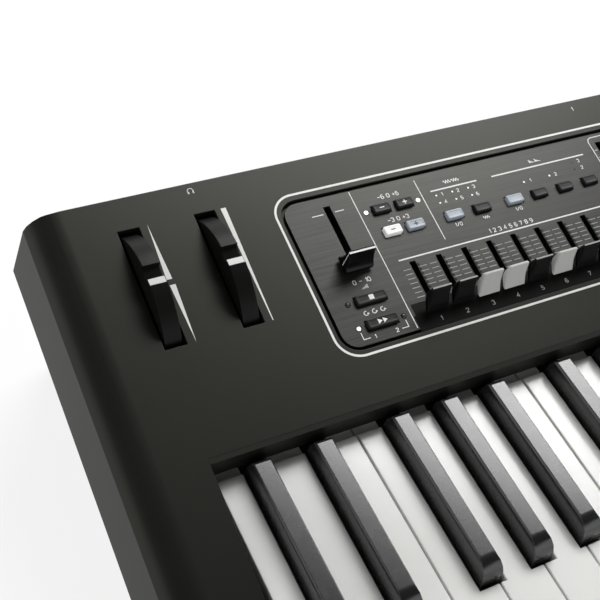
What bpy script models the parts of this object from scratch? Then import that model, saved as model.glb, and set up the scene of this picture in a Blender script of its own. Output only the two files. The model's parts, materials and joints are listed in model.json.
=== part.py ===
"""Stage keyboard with 61 keys, a sloping control panel, two wheels, faders and nine drawbars.

World frame: X runs along the keys, -Y is the player's side, +Z is up, metres.
The origin is on the floor under the middle of the case.
The slab frame lies on the sloping top: x as in the world, u from the panel's front edge
towards the rear, w square to the surface. The plate frame is the same, with x from the
control plate's left end.
"""

import math

import bmesh
import bpy
from mathutils import Matrix, Vector

CLEAR = 0.0003

# Keys
OCTAVE = 0.165
WHITES_PER_OCTAVE = 7
WHITE_COUNT = 36
WHITE_GAP = 0.0010
WHITE_TOP_Z = 0.06485
WHITE_DEPTH = 0.01285
WHITE_LIP = 0.0198
WHITE_LIP_THICK = 0.008
WHITE_LENGTH = 0.1376
WHITE_LEDGE_DROP = 0.00205
WHITE_EDGE = 0.0014
BLACK_TOP_Z = 0.075
BLACK_TOP_WIDTH = 0.00755
BLACK_BASE_WIDTH = 0.0110
BLACK_LEVER_EXTRA = 0.0004
BLACK_LENGTH = 0.0844
BLACK_NOSE = 0.0094
BLACK_NOTCH = 0.0137
BLACK_NOTCH_FRONT = 0.0014
BLACK_SHARES = {"cs": 0.1218, "ds": 0.3067, "fs": 0.5509, "gs": 0.7143, "as": 0.8782}
KEY_REAR_Y = 0.0092
WHITE_REAR_OVER = 0.0034
WHITE_PIVOT_Y = 0.050
BLACK_PIVOT_Y = 0.060
PIVOT_END = 0.004
COMB_BAR_DEPTH = 0.010
COMB_BAR_HEIGHT = 0.005
BLACK_LEVER_TOP_DROP = 0.0122
BLACK_LEVER_BOTTOM_Z = 0.0540
BLACK_PASS_GAP = 0.0019
BLACK_LEVER_STEP = 0.003
BLACK_BACK_RUN = 0.004
WHITE_DIP = 0.010

# Sloping top case
SLOPE = math.radians(11.8)
PANEL_FRONT_Y = 0.0153
PANEL_FRONT_Z = 0.0789
HALF_DEPTH = 0.151
CHEEK_FLAT = 0.0211
SHOULDER_RUN = 0.0176
SKIRT_FLARE = 0.0059
CREASE_DROP = 0.0084
SHOULDER_TURN = math.radians(75)
SHOULDER_STEPS = 5
SKIRT_HEIGHT = 0.0337
CASE_WALL = 0.004
BLOCK_WALL = 0.003
OPENING_SIDE_GAP = 0.0026
OPENING_FRONT_GAP = 0.0025
CREASE_WALL = 0.0031
CAVITY_CORNER_WIDTH = 0.0125
CAVITY_CORNER_DEPTH = 0.0085
FRONT_WALL = 0.003
LEVER_HEADROOM = 0.002
PANEL_CHAMFER = 0.0016

# Tray under the top case
FOOT_HEIGHT = 0.006
FOOT_RADIUS = 0.011
FOOT_INSET_X = 0.0422
FOOT_FRONT_INSET = 0.0227
FOOT_REAR_INSET = 0.0277
TRAY_WALL = 0.003
TRAY_REAR_WALL = 0.0022
TRAY_FLOOR = 0.003
TRAY_TUCK = 0.006

# Control plate, in the slab frame; its ends are measured from the flat of the case
PLATE_LEFT_MARGIN = 0.1033
PLATE_RIGHT_MARGIN = 0.0265
PLATE_FRONT_U = 0.0304
PLATE_REAR_U = 0.1137
PLATE_TOP_W = -0.0004
PLATE_THICK = 0.0019
PLATE_RADIUS = 0.008
PLATE_GAP = 0.0018
LEDGE = 0.0032
BOARD_GAP = 0.0117
BOARD_THICK = 0.0016
BOARD_INSET = 0.0036
POST_RADIUS = 0.003
POST_REAR_INSET = 0.0063
POST_FRONT_INSET = 0.0065
POST_REAR_SHARES = (0.123, 0.369, 0.500, 0.717, 0.880, 0.982)
POST_FRONT_SHARES = (0.271, 0.487, 0.723, 0.959)

# Wheels, in the slab frame
WHEEL_RADIUS = 0.038
WHEEL_PROUD = 0.0125
WHEEL_WIDTH = 0.0098
WHEEL_SIDE_GAP = 0.0005
WHEEL_U = 0.0881
WHEEL_INSET = 0.02693
WHEEL_PITCH = 0.03846
WHEEL_SLOT_LENGTH = 0.0646
WHEEL_NOTCH_DEPTH = 0.0032
WHEEL_NOTCH_WIDTH = 0.0072
WHEEL_NOTCH_TURN = math.radians(2.5)
AXLE_RADIUS = 0.0026
AXLE_CLEAR = 0.0004
BRACKET_WALL = 0.0025
BRACKET_DEPTH = 0.011
BRACKET_ABOVE_AXLE = 0.007

# Faders, in the plate frame
FADER_XS = {"master_fader": 0.0234, "level_fader": 0.1978}
FADER_SLOT_WIDTH = 0.0038
FADER_SLOT_SPARE = 0.0025
FADER_REST_U = 0.0730
FADER_TRAVEL = 0.030
FADER_CAP_WIDTH = 0.0156
FADER_CAP_LENGTH = 0.0094
FADER_CAP_HEIGHT = 0.0122
FADER_RIDGE = 0.0020
FADER_CAP_LIFT = 0.0010
FADER_STEM = (0.0024, 0.0050)
FADER_POT = (0.0090, 0.0440, 0.0060)

# Drawbars
DRAWBAR_COUNT = 9
DRAWBAR_FIRST_X = 0.0531
DRAWBAR_PITCH = 0.0154
DRAWBAR_SLOT_WIDTH = 0.0034
DRAWBAR_SLOT_SPARE = 0.0027
DRAWBAR_POSITIONS = 9
DRAWBAR_STEP = 0.00264
DRAWBAR_WIDTH = 0.0126
DRAWBAR_HEIGHT = 0.0132
DRAWBAR_BASE = 0.0070
DRAWBAR_KNEE = 0.0066
DRAWBAR_TIP = 0.0017
DRAWBAR_FRONT_U = 0.0378
DRAWBAR_LEAN = 0.0048
DRAWBAR_LIFT = 0.0006
DRAWBAR_EDGE = 0.0006
DRAWBAR_STEM = (0.0024, 0.0040)
DRAWBAR_STEM_U = 0.0405
WHITE_DRAWBARS = (3, 4, 6, 9)
POT_GAP = 0.0004
SLOT_GAP = 0.0006

# Buttons, in the plate frame: name, centre x, centre u, width, length
PAIR_XS = (0.0511, 0.06465)
TRANSPOSE_U = 0.0992
OCTAVE_U = 0.0855
SIDE_X = 0.0226
STOP_U = 0.0530
SPEED_U = 0.0397
VIBRATO_XS = (0.0884, 0.1058)
PERCUSSION_X = 0.1268
PERCUSSION_FIRST_X = 0.1435
PERCUSSION_PITCH = 0.01715
BUTTON_LENGTH = 0.0053
PAIR_WIDTH = 0.0100
SIDE_WIDTH = 0.0169
SWITCH_WIDTH = 0.0101
OPTION_WIDTH = 0.0093
BUTTONS = (
    ("transpose_down_button", PAIR_XS[0], TRANSPOSE_U, PAIR_WIDTH),
    ("transpose_up_button", PAIR_XS[1], TRANSPOSE_U, PAIR_WIDTH),
    ("octave_down_button", PAIR_XS[0], OCTAVE_U, PAIR_WIDTH),
    ("octave_up_button", PAIR_XS[1], OCTAVE_U, PAIR_WIDTH),
    ("stop_button", SIDE_X, STOP_U, SIDE_WIDTH),
    ("speed_button", SIDE_X, SPEED_U, SIDE_WIDTH),
    ("vibrato_on_button", VIBRATO_XS[0], OCTAVE_U, SWITCH_WIDTH),
    ("vibrato_type_button", VIBRATO_XS[1], OCTAVE_U, SWITCH_WIDTH),
    ("percussion_on_button", PERCUSSION_X, OCTAVE_U, SWITCH_WIDTH),
    ("percussion_soft_button", PERCUSSION_FIRST_X, OCTAVE_U, OPTION_WIDTH),
    ("percussion_fast_button", PERCUSSION_FIRST_X + PERCUSSION_PITCH, OCTAVE_U, OPTION_WIDTH),
    ("percussion_harmonic_button", PERCUSSION_FIRST_X + 2 * PERCUSSION_PITCH, OCTAVE_U,
     OPTION_WIDTH),
)
PALE_BUTTONS = ("octave_down_button", "octave_up_button", "vibrato_on_button", "percussion_on_button")
BUTTON_PROUD = 0.0020
BUTTON_EDGE = 0.0006
BUTTON_GAP = 0.00035
BUTTON_TRAVEL = 0.0012
SWITCH_GAP = 0.0004

# Right-hand end of the plate, in the plate frame
DISPLAY_LEFT = 0.4047
DISPLAY_WIDTH = 0.080
DISPLAY_FRONT_U = 0.0780
DISPLAY_LENGTH = 0.025
DISPLAY_THICK = 0.0026
DISPLAY_PROUD = 0.0002
DIAL_X = 0.5187
DIAL_U = 0.0905
DIAL_RADIUS = 0.0130
DIAL_HEIGHT = 0.0140
DIAL_SHAFT_RADIUS = 0.0030
DIAL_LIFT = 0.0010
DIAL_EDGE = 0.0010
PRESET_COUNT = 4
PRESET_FIRST_X = 0.4097
PRESET_PITCH = 0.0235
PRESET_U = 0.0520
PRESET_WIDTH = 0.0100
PRESET_WEB = 0.0016
PRESET_WEB_MARGIN = 0.0033

# Rear jack plate
JACK_PLATE_LEFT = -0.182
JACK_PLATE_WIDTH = 0.184
JACK_PLATE_HEIGHT = 0.030
JACK_Z = 0.035
JACK_BLOCK_DEPTH = 0.018
JACK_COUNT = 4
JACK_FIRST = 0.023
JACK_PITCH = 0.029
JACK_RADIUS = 0.0034
JACK_BORE = 0.0150
INLET_PLACE = 0.156
INLET_WIDTH = 0.0276
INLET_HEIGHT = 0.0200
INLET_BORE = 0.0130

# Key chassis
CHASSIS_PLATE = 0.0027
CHASSIS_SIDE_GAP = 0.0016
CHASSIS_FRONT_Y = -0.122
CHASSIS_STOP_Y = -0.096
CHASSIS_STOP_WIDTH = 0.008
CHASSIS_STOP_GAP = 0.0018
CHASSIS_REAR_Y = 0.066
RIDGE_WIDTH = 0.004

WHITE_PITCH = OCTAVE / WHITES_PER_OCTAVE
KEYBED_LEFT = -WHITE_PITCH * WHITE_COUNT / 2
KEY_FRONT_Y = KEY_REAR_Y + WHITE_REAR_OVER - WHITE_LENGTH
OPENING_HALF_WIDTH = -KEYBED_LEFT + OPENING_SIDE_GAP
OPENING_FRONT_Y = KEY_FRONT_Y - OPENING_FRONT_GAP
WHITE_BOTTOM_Z = WHITE_TOP_Z - WHITE_DEPTH
LEVER_TOP_Z = WHITE_TOP_Z - WHITE_LEDGE_DROP
BLACK_FRONT_Y = KEY_REAR_Y - BLACK_LENGTH
BLACK_REST_BOTTOM_Z = WHITE_BOTTOM_Z + COMB_BAR_HEIGHT + BLACK_PASS_GAP
SHOULDER_HALF_WIDTH = OPENING_HALF_WIDTH + CHEEK_FLAT
CREASE_HALF_WIDTH = SHOULDER_HALF_WIDTH + SHOULDER_RUN
CASE_HALF_WIDTH = CREASE_HALF_WIDTH + SKIRT_FLARE
CAVITY_HALF_WIDTH = CREASE_HALF_WIDTH - CREASE_WALL
PLATE_LEFT = PLATE_LEFT_MARGIN - SHOULDER_HALF_WIDTH
PLATE_WIDTH = SHOULDER_HALF_WIDTH - PLATE_RIGHT_MARGIN - PLATE_LEFT
WHEEL_FIRST_X = WHEEL_INSET - SHOULDER_HALF_WIDTH
BOARD_TOP_W = PLATE_TOP_W - PLATE_THICK - BOARD_GAP
SLIDER_TOP_W = BOARD_TOP_W + FADER_POT[2]
DRAWBAR_TRAVEL = (DRAWBAR_POSITIONS - 1) * DRAWBAR_STEP
DRAWBAR_SLOT_FRONT_U = DRAWBAR_STEM_U - DRAWBAR_STEM[1] / 2 - SLOT_GAP
DRAWBAR_SLOT_REAR_U = DRAWBAR_STEM_U + DRAWBAR_STEM[1] / 2 + DRAWBAR_TRAVEL + DRAWBAR_SLOT_SPARE
FADER_SLOT_FRONT_U = FADER_REST_U - FADER_STEM[1] / 2 - SLOT_GAP
FADER_SLOT_REAR_U = FADER_REST_U + FADER_STEM[1] / 2 + FADER_TRAVEL + FADER_SLOT_SPARE
WHEEL_AXIS_W = WHEEL_PROUD - WHEEL_RADIUS
SLAB = Matrix.Translation((0, PANEL_FRONT_Y, PANEL_FRONT_Z)) @ Matrix.Rotation(SLOPE, 4, "X")

MATERIALS = {
    "case_black": ((0.035, 0.035, 0.032), 0.42, 0.0),
    "tray_black": ((0.020, 0.020, 0.020), 0.60, 0.0),
    "jack_black": ((0.020, 0.020, 0.020), 0.50, 0.0),
    "brushed_plate": ((0.125, 0.125, 0.118), 0.38, 0.7),
    "key_white": ((0.86, 0.86, 0.84), 0.15, 0.0),
    "key_black": ((0.015, 0.015, 0.015), 0.18, 0.0),
    "foot_rubber": ((0.020, 0.020, 0.020), 0.80, 0.0),
    "wheel_rubber": ((0.018, 0.018, 0.017), 0.65, 0.0),
    "button_dark": ((0.032, 0.032, 0.030), 0.40, 0.0),
    "button_pale": ((0.52, 0.57, 0.63), 0.35, 0.0),
    "cap_black": ((0.010, 0.010, 0.010), 0.22, 0.0),
    "drawbar_white": ((0.80, 0.80, 0.77), 0.28, 0.0),
    "board_green": ((0.020, 0.110, 0.050), 0.50, 0.0),
    "bed_metal": ((0.55, 0.55, 0.56), 0.35, 1.0),
    "bracket_metal": ((0.55, 0.55, 0.56), 0.35, 1.0),
    "glass_dark": ((0.010, 0.012, 0.016), 0.06, 0.0),
}


def clear_scene():
    for obj in list(bpy.data.objects):
        bpy.data.objects.remove(obj, do_unlink=True)


def new_collection(name):
    found = bpy.data.collections.new(name)
    bpy.context.scene.collection.children.link(found)
    return found


def get_material(name):
    """The named material, made on its first use."""
    found = bpy.data.materials.get(name)
    if found:
        return found
    colour, roughness, metallic = MATERIALS[name]
    found = bpy.data.materials.new(name)
    found.use_nodes = True
    shader = found.node_tree.nodes["Principled BSDF"]
    shader.inputs["Base Color"].default_value = (*colour, 1.0)
    shader.inputs["Roughness"].default_value = roughness
    shader.inputs["Metallic"].default_value = metallic
    found.diffuse_color = (*colour, 1.0)
    return found


clear_scene()
PARTS = new_collection("stage_keyboard")
CUTTERS = new_collection("cutters")


def plane_matrix(plane):
    """Turns a flat outline's axes: XY stays, XZ stands square to Y and YZ stands square to X."""
    if plane == "XZ":
        return Matrix(((1, 0, 0, 0), (0, 0, -1, 0), (0, 1, 0, 0), (0, 0, 0, 1)))
    if plane == "YZ":
        return Matrix(((0, 0, 1, 0), (1, 0, 0, 0), (0, 1, 0, 0), (0, 0, 0, 1)))
    return Matrix.Identity(4)


def prism_mesh(name, outlines, low, high, plane="XY"):
    """A mesh of upright prisms between low and high, one for each flat outline."""
    shape = bmesh.new()
    for points in outlines:
        ring = [shape.verts.new((a, b, low)) for a, b in points]
        face = shape.faces.new(ring)
        raised = bmesh.ops.extrude_face_region(shape, geom=[face], use_keep_orig=True)["geom"]
        moved = [item for item in raised if isinstance(item, bmesh.types.BMVert)]
        bmesh.ops.translate(shape, verts=moved, vec=(0, 0, high - low))
    axis = {"XY": (0, 0, 0), "XZ": (0, high + low, 0), "YZ": (0, 0, 0)}[plane]
    bmesh.ops.transform(shape, matrix=Matrix.Translation(axis) @ plane_matrix(plane), verts=shape.verts)
    bmesh.ops.recalc_face_normals(shape, faces=shape.faces)
    mesh = bpy.data.meshes.new(name)
    shape.to_mesh(mesh)
    shape.free()
    return mesh


def box_mesh(name, x, y, z):
    """A box between pairs of limits."""
    shape = bmesh.new()
    bmesh.ops.create_cube(shape, size=1.0)
    size = Matrix.Diagonal((x[1] - x[0], y[1] - y[0], z[1] - z[0], 1))
    middle = Matrix.Translation((sum(x) / 2, sum(y) / 2, sum(z) / 2))
    bmesh.ops.transform(shape, matrix=middle @ size, verts=shape.verts)
    mesh = bpy.data.meshes.new(name)
    shape.to_mesh(mesh)
    shape.free()
    return mesh


def cylinder_mesh(name, radius, low, high, axis="Z", sides=24):
    """A cylinder on the given axis through the origin."""
    turn = {"Z": Matrix.Identity(4), "X": Matrix.Rotation(math.pi / 2, 4, "Y"),
            "Y": Matrix.Rotation(-math.pi / 2, 4, "X")}[axis]
    shape = bmesh.new()
    bmesh.ops.create_cone(shape, cap_ends=True, segments=sides, radius1=radius, radius2=radius,
                          depth=high - low)
    place = turn @ Matrix.Translation((0, 0, (low + high) / 2))
    bmesh.ops.transform(shape, matrix=place, verts=shape.verts)
    mesh = bpy.data.meshes.new(name)
    shape.to_mesh(mesh)
    shape.free()
    return mesh


def add_part(name, mesh, material, parent=None, origin=None):
    """One named piece. Its mesh is given in its parent's frame, and its origin is moved on to its axis."""
    obj = bpy.data.objects.new(name, mesh)
    PARTS.objects.link(obj)
    if parent:
        obj.parent = parent
    if origin:
        mesh.transform(Matrix.Translation(-Vector(origin)))
        obj.location = origin
    mesh.materials.clear()
    mesh.materials.append(get_material(material))
    return obj


def add_cutter(name, mesh, parent=None):
    obj = bpy.data.objects.new(name, mesh)
    CUTTERS.objects.link(obj)
    obj.hide_render = True
    obj.display_type = "WIRE"
    if parent:
        obj.parent = parent
    return obj


def boolean(obj, other, operation="DIFFERENCE"):
    modifier = obj.modifiers.new(operation.lower() + "_" + other.name, "BOOLEAN")
    modifier.operation = operation
    modifier.solver = "EXACT"
    modifier.object = other


def bevel(obj, width, segments=1, angle=math.radians(40)):
    modifier = obj.modifiers.new("edges", "BEVEL")
    modifier.width = width
    modifier.segments = segments
    modifier.limit_method = "ANGLE"
    modifier.angle_limit = angle


def rectangle(x, y):
    return [(x[0], y[0]), (x[1], y[0]), (x[1], y[1]), (x[0], y[1])]


def around(x, y, width, length):
    return rectangle((x - width / 2, x + width / 2), (y - length / 2, y + length / 2))


def rounded_rectangle(x, y, radius, steps=6):
    points = []
    corners = ((x[1] - radius, y[0] + radius, -90), (x[1] - radius, y[1] - radius, 0),
               (x[0] + radius, y[1] - radius, 90), (x[0] + radius, y[0] + radius, 180))
    for cx, cy, start in corners:
        for step in range(steps + 1):
            angle = math.radians(start + 90 * step / steps)
            points.append((cx + radius * math.cos(angle), cy + radius * math.sin(angle)))
    return points


def circle(x, y, radius, sides=16):
    turn = 2 * math.pi / sides
    return [(x + radius * math.cos(turn * i), y + radius * math.sin(turn * i)) for i in range(sides)]


def slope_mesh(mesh):
    """Moves heights that are given relative to the sloping top, so that level faces take its slope."""
    rise = math.tan(SLOPE)
    lift = PANEL_FRONT_Z - rise * PANEL_FRONT_Y
    shear = Matrix(((1, 0, 0, 0), (0, 1, 0, 0), (0, rise, 1, lift), (0, 0, 0, 1)))
    mesh.transform(shear)
    return mesh


def add_empty(name, matrix):
    empty = bpy.data.objects.new(name, None)
    PARTS.objects.link(empty)
    empty.empty_display_size = 0.02
    empty.matrix_world = matrix
    return empty


SLAB_FRAME = add_empty("slab_frame", SLAB)
PLATE_FRAME = add_empty("plate_frame", SLAB @ Matrix.Translation((PLATE_LEFT, 0, 0)))


def key_profile_points():
    """Side view of a white key: front lip, top, rear ledge, lever and comb bar."""
    rear = KEY_REAR_Y + WHITE_REAR_OVER
    bar = WHITE_PIVOT_Y + PIVOT_END - COMB_BAR_DEPTH
    end = WHITE_PIVOT_Y + PIVOT_END
    lip = WHITE_TOP_Z - WHITE_LIP
    front = KEY_FRONT_Y
    edge = WHITE_EDGE
    bar_top = WHITE_BOTTOM_Z + COMB_BAR_HEIGHT
    return [(front, lip), (front + WHITE_LIP_THICK, lip), (front + WHITE_LIP_THICK, WHITE_BOTTOM_Z),
            (end, WHITE_BOTTOM_Z), (end, bar_top), (bar, bar_top),
            (bar, LEVER_TOP_Z), (rear, LEVER_TOP_Z), (rear, WHITE_TOP_Z), (front + edge, WHITE_TOP_Z),
            (front + edge * 0.3, WHITE_TOP_Z - edge * 0.3), (front, WHITE_TOP_Z - edge)]


def black_profile_points():
    """Side view of a black key: rounded nose, top, rear slope, and a lever that passes over the white bar."""
    lever = BLACK_TOP_Z - BLACK_LEVER_TOP_DROP
    nose = BLACK_NOSE
    front = BLACK_FRONT_Y
    lift = WHITE_PIVOT_Y + PIVOT_END - COMB_BAR_DEPTH - BLACK_LEVER_STEP - 2 * CLEAR
    end = BLACK_PIVOT_Y + PIVOT_END
    back = BLACK_BACK_RUN
    top = BLACK_TOP_Z
    return [(front, BLACK_LEVER_BOTTOM_Z), (lift, BLACK_LEVER_BOTTOM_Z), (lift, BLACK_REST_BOTTOM_Z),
            (end, BLACK_REST_BOTTOM_Z), (end, lever), (KEY_REAR_Y + back, lever),
            (KEY_REAR_Y + back * 0.85, top - 0.005), (KEY_REAR_Y + back * 0.4, top - 0.001),
            (KEY_REAR_Y, top), (front + nose, top), (front + nose * 0.55, top - 0.0008),
            (front + nose * 0.24, top - 0.0032), (front + nose * 0.06, top - 0.0072),
            (front, top - 0.0150)]


def white_edges(index):
    """Front-left, front-right, tail-left and tail-right x of white key number index from the left."""
    left = KEYBED_LEFT + index * WHITE_PITCH + WHITE_GAP / 2
    right = left + WHITE_PITCH - WHITE_GAP
    base = KEYBED_LEFT + (index // WHITES_PER_OCTAVE) * OCTAVE
    place = index % WHITES_PER_OCTAVE
    before = {1: "cs", 2: "ds", 4: "fs", 5: "gs", 6: "as"}.get(place)
    after = {0: "cs", 1: "ds", 3: "fs", 4: "gs", 5: "as"}.get(place)
    if index == WHITE_COUNT - 1:
        after = None
    tail_left = base + OCTAVE * BLACK_SHARES[before] + BLACK_NOTCH / 2 if before else left
    tail_right = base + OCTAVE * BLACK_SHARES[after] - BLACK_NOTCH / 2 if after else right
    return left, right, tail_left, tail_right


def white_outline(indexes):
    """Plan of white keys that share a comb bar at the rear."""
    notch = BLACK_FRONT_Y - BLACK_NOTCH_FRONT
    bar = WHITE_PIVOT_Y + PIVOT_END - COMB_BAR_DEPTH
    end = WHITE_PIVOT_Y + PIVOT_END
    points = []
    for count, index in enumerate(indexes):
        left, right, tail_left, tail_right = white_edges(index)
        if count:
            points.append((tail_left, bar))
        if tail_left > left:
            points += [(tail_left, notch), (left, notch)]
        points += [(left, KEY_FRONT_Y), (right, KEY_FRONT_Y)]
        if tail_right < right:
            points += [(right, notch), (tail_right, notch)]
        if index != indexes[-1]:
            points.append((tail_right, bar))
    points.append((white_edges(indexes[-1])[3], end))
    points.append((white_edges(indexes[0])[2], end))
    return points


def black_x(octave, note):
    return KEYBED_LEFT + (octave + BLACK_SHARES[note]) * OCTAVE


def black_outline(centres):
    """Plan of black keys that share a comb bar at the rear."""
    half = BLACK_BASE_WIDTH / 2 + BLACK_LEVER_EXTRA
    end = BLACK_PIVOT_Y + PIVOT_END
    bar = end - 1.5 * PIVOT_END
    points = []
    for x in centres:
        if x != centres[0]:
            points.append((x - half, bar))
        points += [(x - half, BLACK_FRONT_Y), (x + half, BLACK_FRONT_Y)]
        if x != centres[-1]:
            points.append((x + half, bar))
    points.append((centres[-1] + half, end))
    points.append((centres[0] - half, end))
    return points


def black_section(centres):
    """Front view of black keys: sides that lean in, with a rounded shoulder."""
    base = BLACK_BASE_WIDTH / 2
    top = BLACK_TOP_WIDTH / 2
    foot = LEVER_TOP_Z + 0.001
    low = BLACK_LEVER_BOTTOM_Z - 0.001
    points = [(centres[0] - base - 0.001, low)]
    points.append((centres[-1] + base + 0.001, low))
    points.append((centres[-1] + base + 0.001, foot))
    side = [(base, foot), (base - 0.0003, BLACK_TOP_Z - 0.0045),
            (top + 0.0009, BLACK_TOP_Z - 0.0012), (top, BLACK_TOP_Z)]
    for x in reversed(centres):
        points += [(x + out, z) for out, z in side]
        points += [(x - out, z) for out, z in reversed(side)]
    points.append((centres[0] - base - 0.001, foot))
    return points


def make_keys():
    side = -KEYBED_LEFT + 0.005
    white_mesh = prism_mesh("white_side_view", [key_profile_points()], -side, side, "YZ")
    white_side = add_cutter("white_side_view", white_mesh)
    black_mesh = prism_mesh("black_side_view", [black_profile_points()], -side, side, "YZ")
    black_side = add_cutter("black_side_view", black_mesh)
    white_low = WHITE_TOP_Z - WHITE_LIP - 0.002
    white_high = WHITE_TOP_Z + 0.002
    letters = "cdefgab"
    singles = [(letters[i % 7] + str(i // 7 + 1), [i]) for i in range(9)]
    sets = [("e2_to_b2", range(9, 14)), ("c3_to_b3", range(14, 21)), ("c4_to_c6", range(21, 36))]
    for name, indexes in singles + sets:
        indexes = list(indexes)
        label = ("key_" if len(indexes) == 1 else "white_keys_") + name
        mesh = prism_mesh(label, [white_outline(indexes)], white_low, white_high)
        middle = (white_edges(indexes[0])[0] + white_edges(indexes[-1])[1]) / 2
        key = add_part(label, mesh, "key_white", origin=(middle, WHITE_PIVOT_Y, WHITE_BOTTOM_Z))
        boolean(key, white_side, "INTERSECT")
    notes = list(BLACK_SHARES)
    blacks = [(notes[i % 5] + str(i // 5 + 1), [(i // 5, notes[i % 5])]) for i in range(6)]
    blacks.append(("ds2_to_as2", [(1, note) for note in notes[1:]]))
    blacks.append(("cs3_to_as3", [(2, note) for note in notes]))
    blacks.append(("cs4_to_as5", [(octave, note) for octave in (3, 4) for note in notes]))
    for name, places in blacks:
        centres = [black_x(octave, note) for octave, note in places]
        label = ("key_" if len(places) == 1 else "black_keys_") + name
        mesh = prism_mesh(label, [black_outline(centres)], BLACK_LEVER_BOTTOM_Z - 0.0005,
                          BLACK_TOP_Z + 0.002)
        middle = (centres[0] + centres[-1]) / 2
        key = add_part(label, mesh, "key_black", origin=(middle, BLACK_PIVOT_Y, BLACK_REST_BOTTOM_Z))
        boolean(key, black_side, "INTERSECT")
        shape = prism_mesh(label + "_front_view", [black_section(centres)], BLACK_FRONT_Y - 0.005,
                           BLACK_PIVOT_Y + PIVOT_END + 0.005, "XZ")
        boolean(key, add_cutter(label + "_front_view", shape), "INTERSECT")


def make_key_chassis():
    """Folded metal bed: a stop rail under the key fronts and a pivot rail for each row of keys."""
    low = FOOT_HEIGHT + TRAY_FLOOR + CLEAR
    floor = low + CHASSIS_PLATE
    half = RIDGE_WIDTH / 2
    stop = CHASSIS_STOP_WIDTH / 2
    reach = WHITE_PIVOT_Y - CHASSIS_STOP_Y + stop
    pressed = WHITE_BOTTOM_Z - WHITE_DIP * reach / (WHITE_PIVOT_Y - KEY_FRONT_Y)
    stop_z = pressed - CHASSIS_STOP_GAP
    white = WHITE_BOTTOM_Z - CLEAR
    black = BLACK_REST_BOTTOM_Z - CLEAR
    points = [(CHASSIS_FRONT_Y, low), (CHASSIS_REAR_Y, low), (CHASSIS_REAR_Y, floor),
              (BLACK_PIVOT_Y + half, floor), (BLACK_PIVOT_Y + half, black), (BLACK_PIVOT_Y - half, black),
              (BLACK_PIVOT_Y - half, floor), (WHITE_PIVOT_Y + half, floor), (WHITE_PIVOT_Y + half, white),
              (WHITE_PIVOT_Y - half, white), (WHITE_PIVOT_Y - half, floor), (CHASSIS_STOP_Y + stop, floor),
              (CHASSIS_STOP_Y + stop, stop_z), (CHASSIS_STOP_Y - stop, stop_z),
              (CHASSIS_STOP_Y - stop, floor), (CHASSIS_FRONT_Y, floor)]
    side = OPENING_HALF_WIDTH - OPENING_SIDE_GAP - CHASSIS_SIDE_GAP
    add_part("key_chassis", prism_mesh("key_chassis", [points], -side, side, "YZ"), "bed_metal")


def case_profile(depth):
    """End view of the top case, as x and drop below the sloping surface."""
    run = CREASE_HALF_WIDTH - SHOULDER_HALF_WIDTH
    half = []
    for step in range(SHOULDER_STEPS + 1):
        angle = SHOULDER_TURN * step / SHOULDER_STEPS
        drop = CREASE_DROP * (1 - math.cos(angle)) / (1 - math.cos(SHOULDER_TURN))
        half.append((SHOULDER_HALF_WIDTH + run * math.sin(angle) / math.sin(SHOULDER_TURN), drop))
    half.append((CASE_HALF_WIDTH, depth))
    return [(x, -d) for x, d in half] + [(-x, -d) for x, d in reversed(half)]


def plate_limits(grow):
    return (-grow, PLATE_WIDTH + grow), (PLATE_FRONT_U - grow, PLATE_REAR_U + grow)


def wheel_x(index):
    return WHEEL_FIRST_X + index * WHEEL_PITCH


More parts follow.
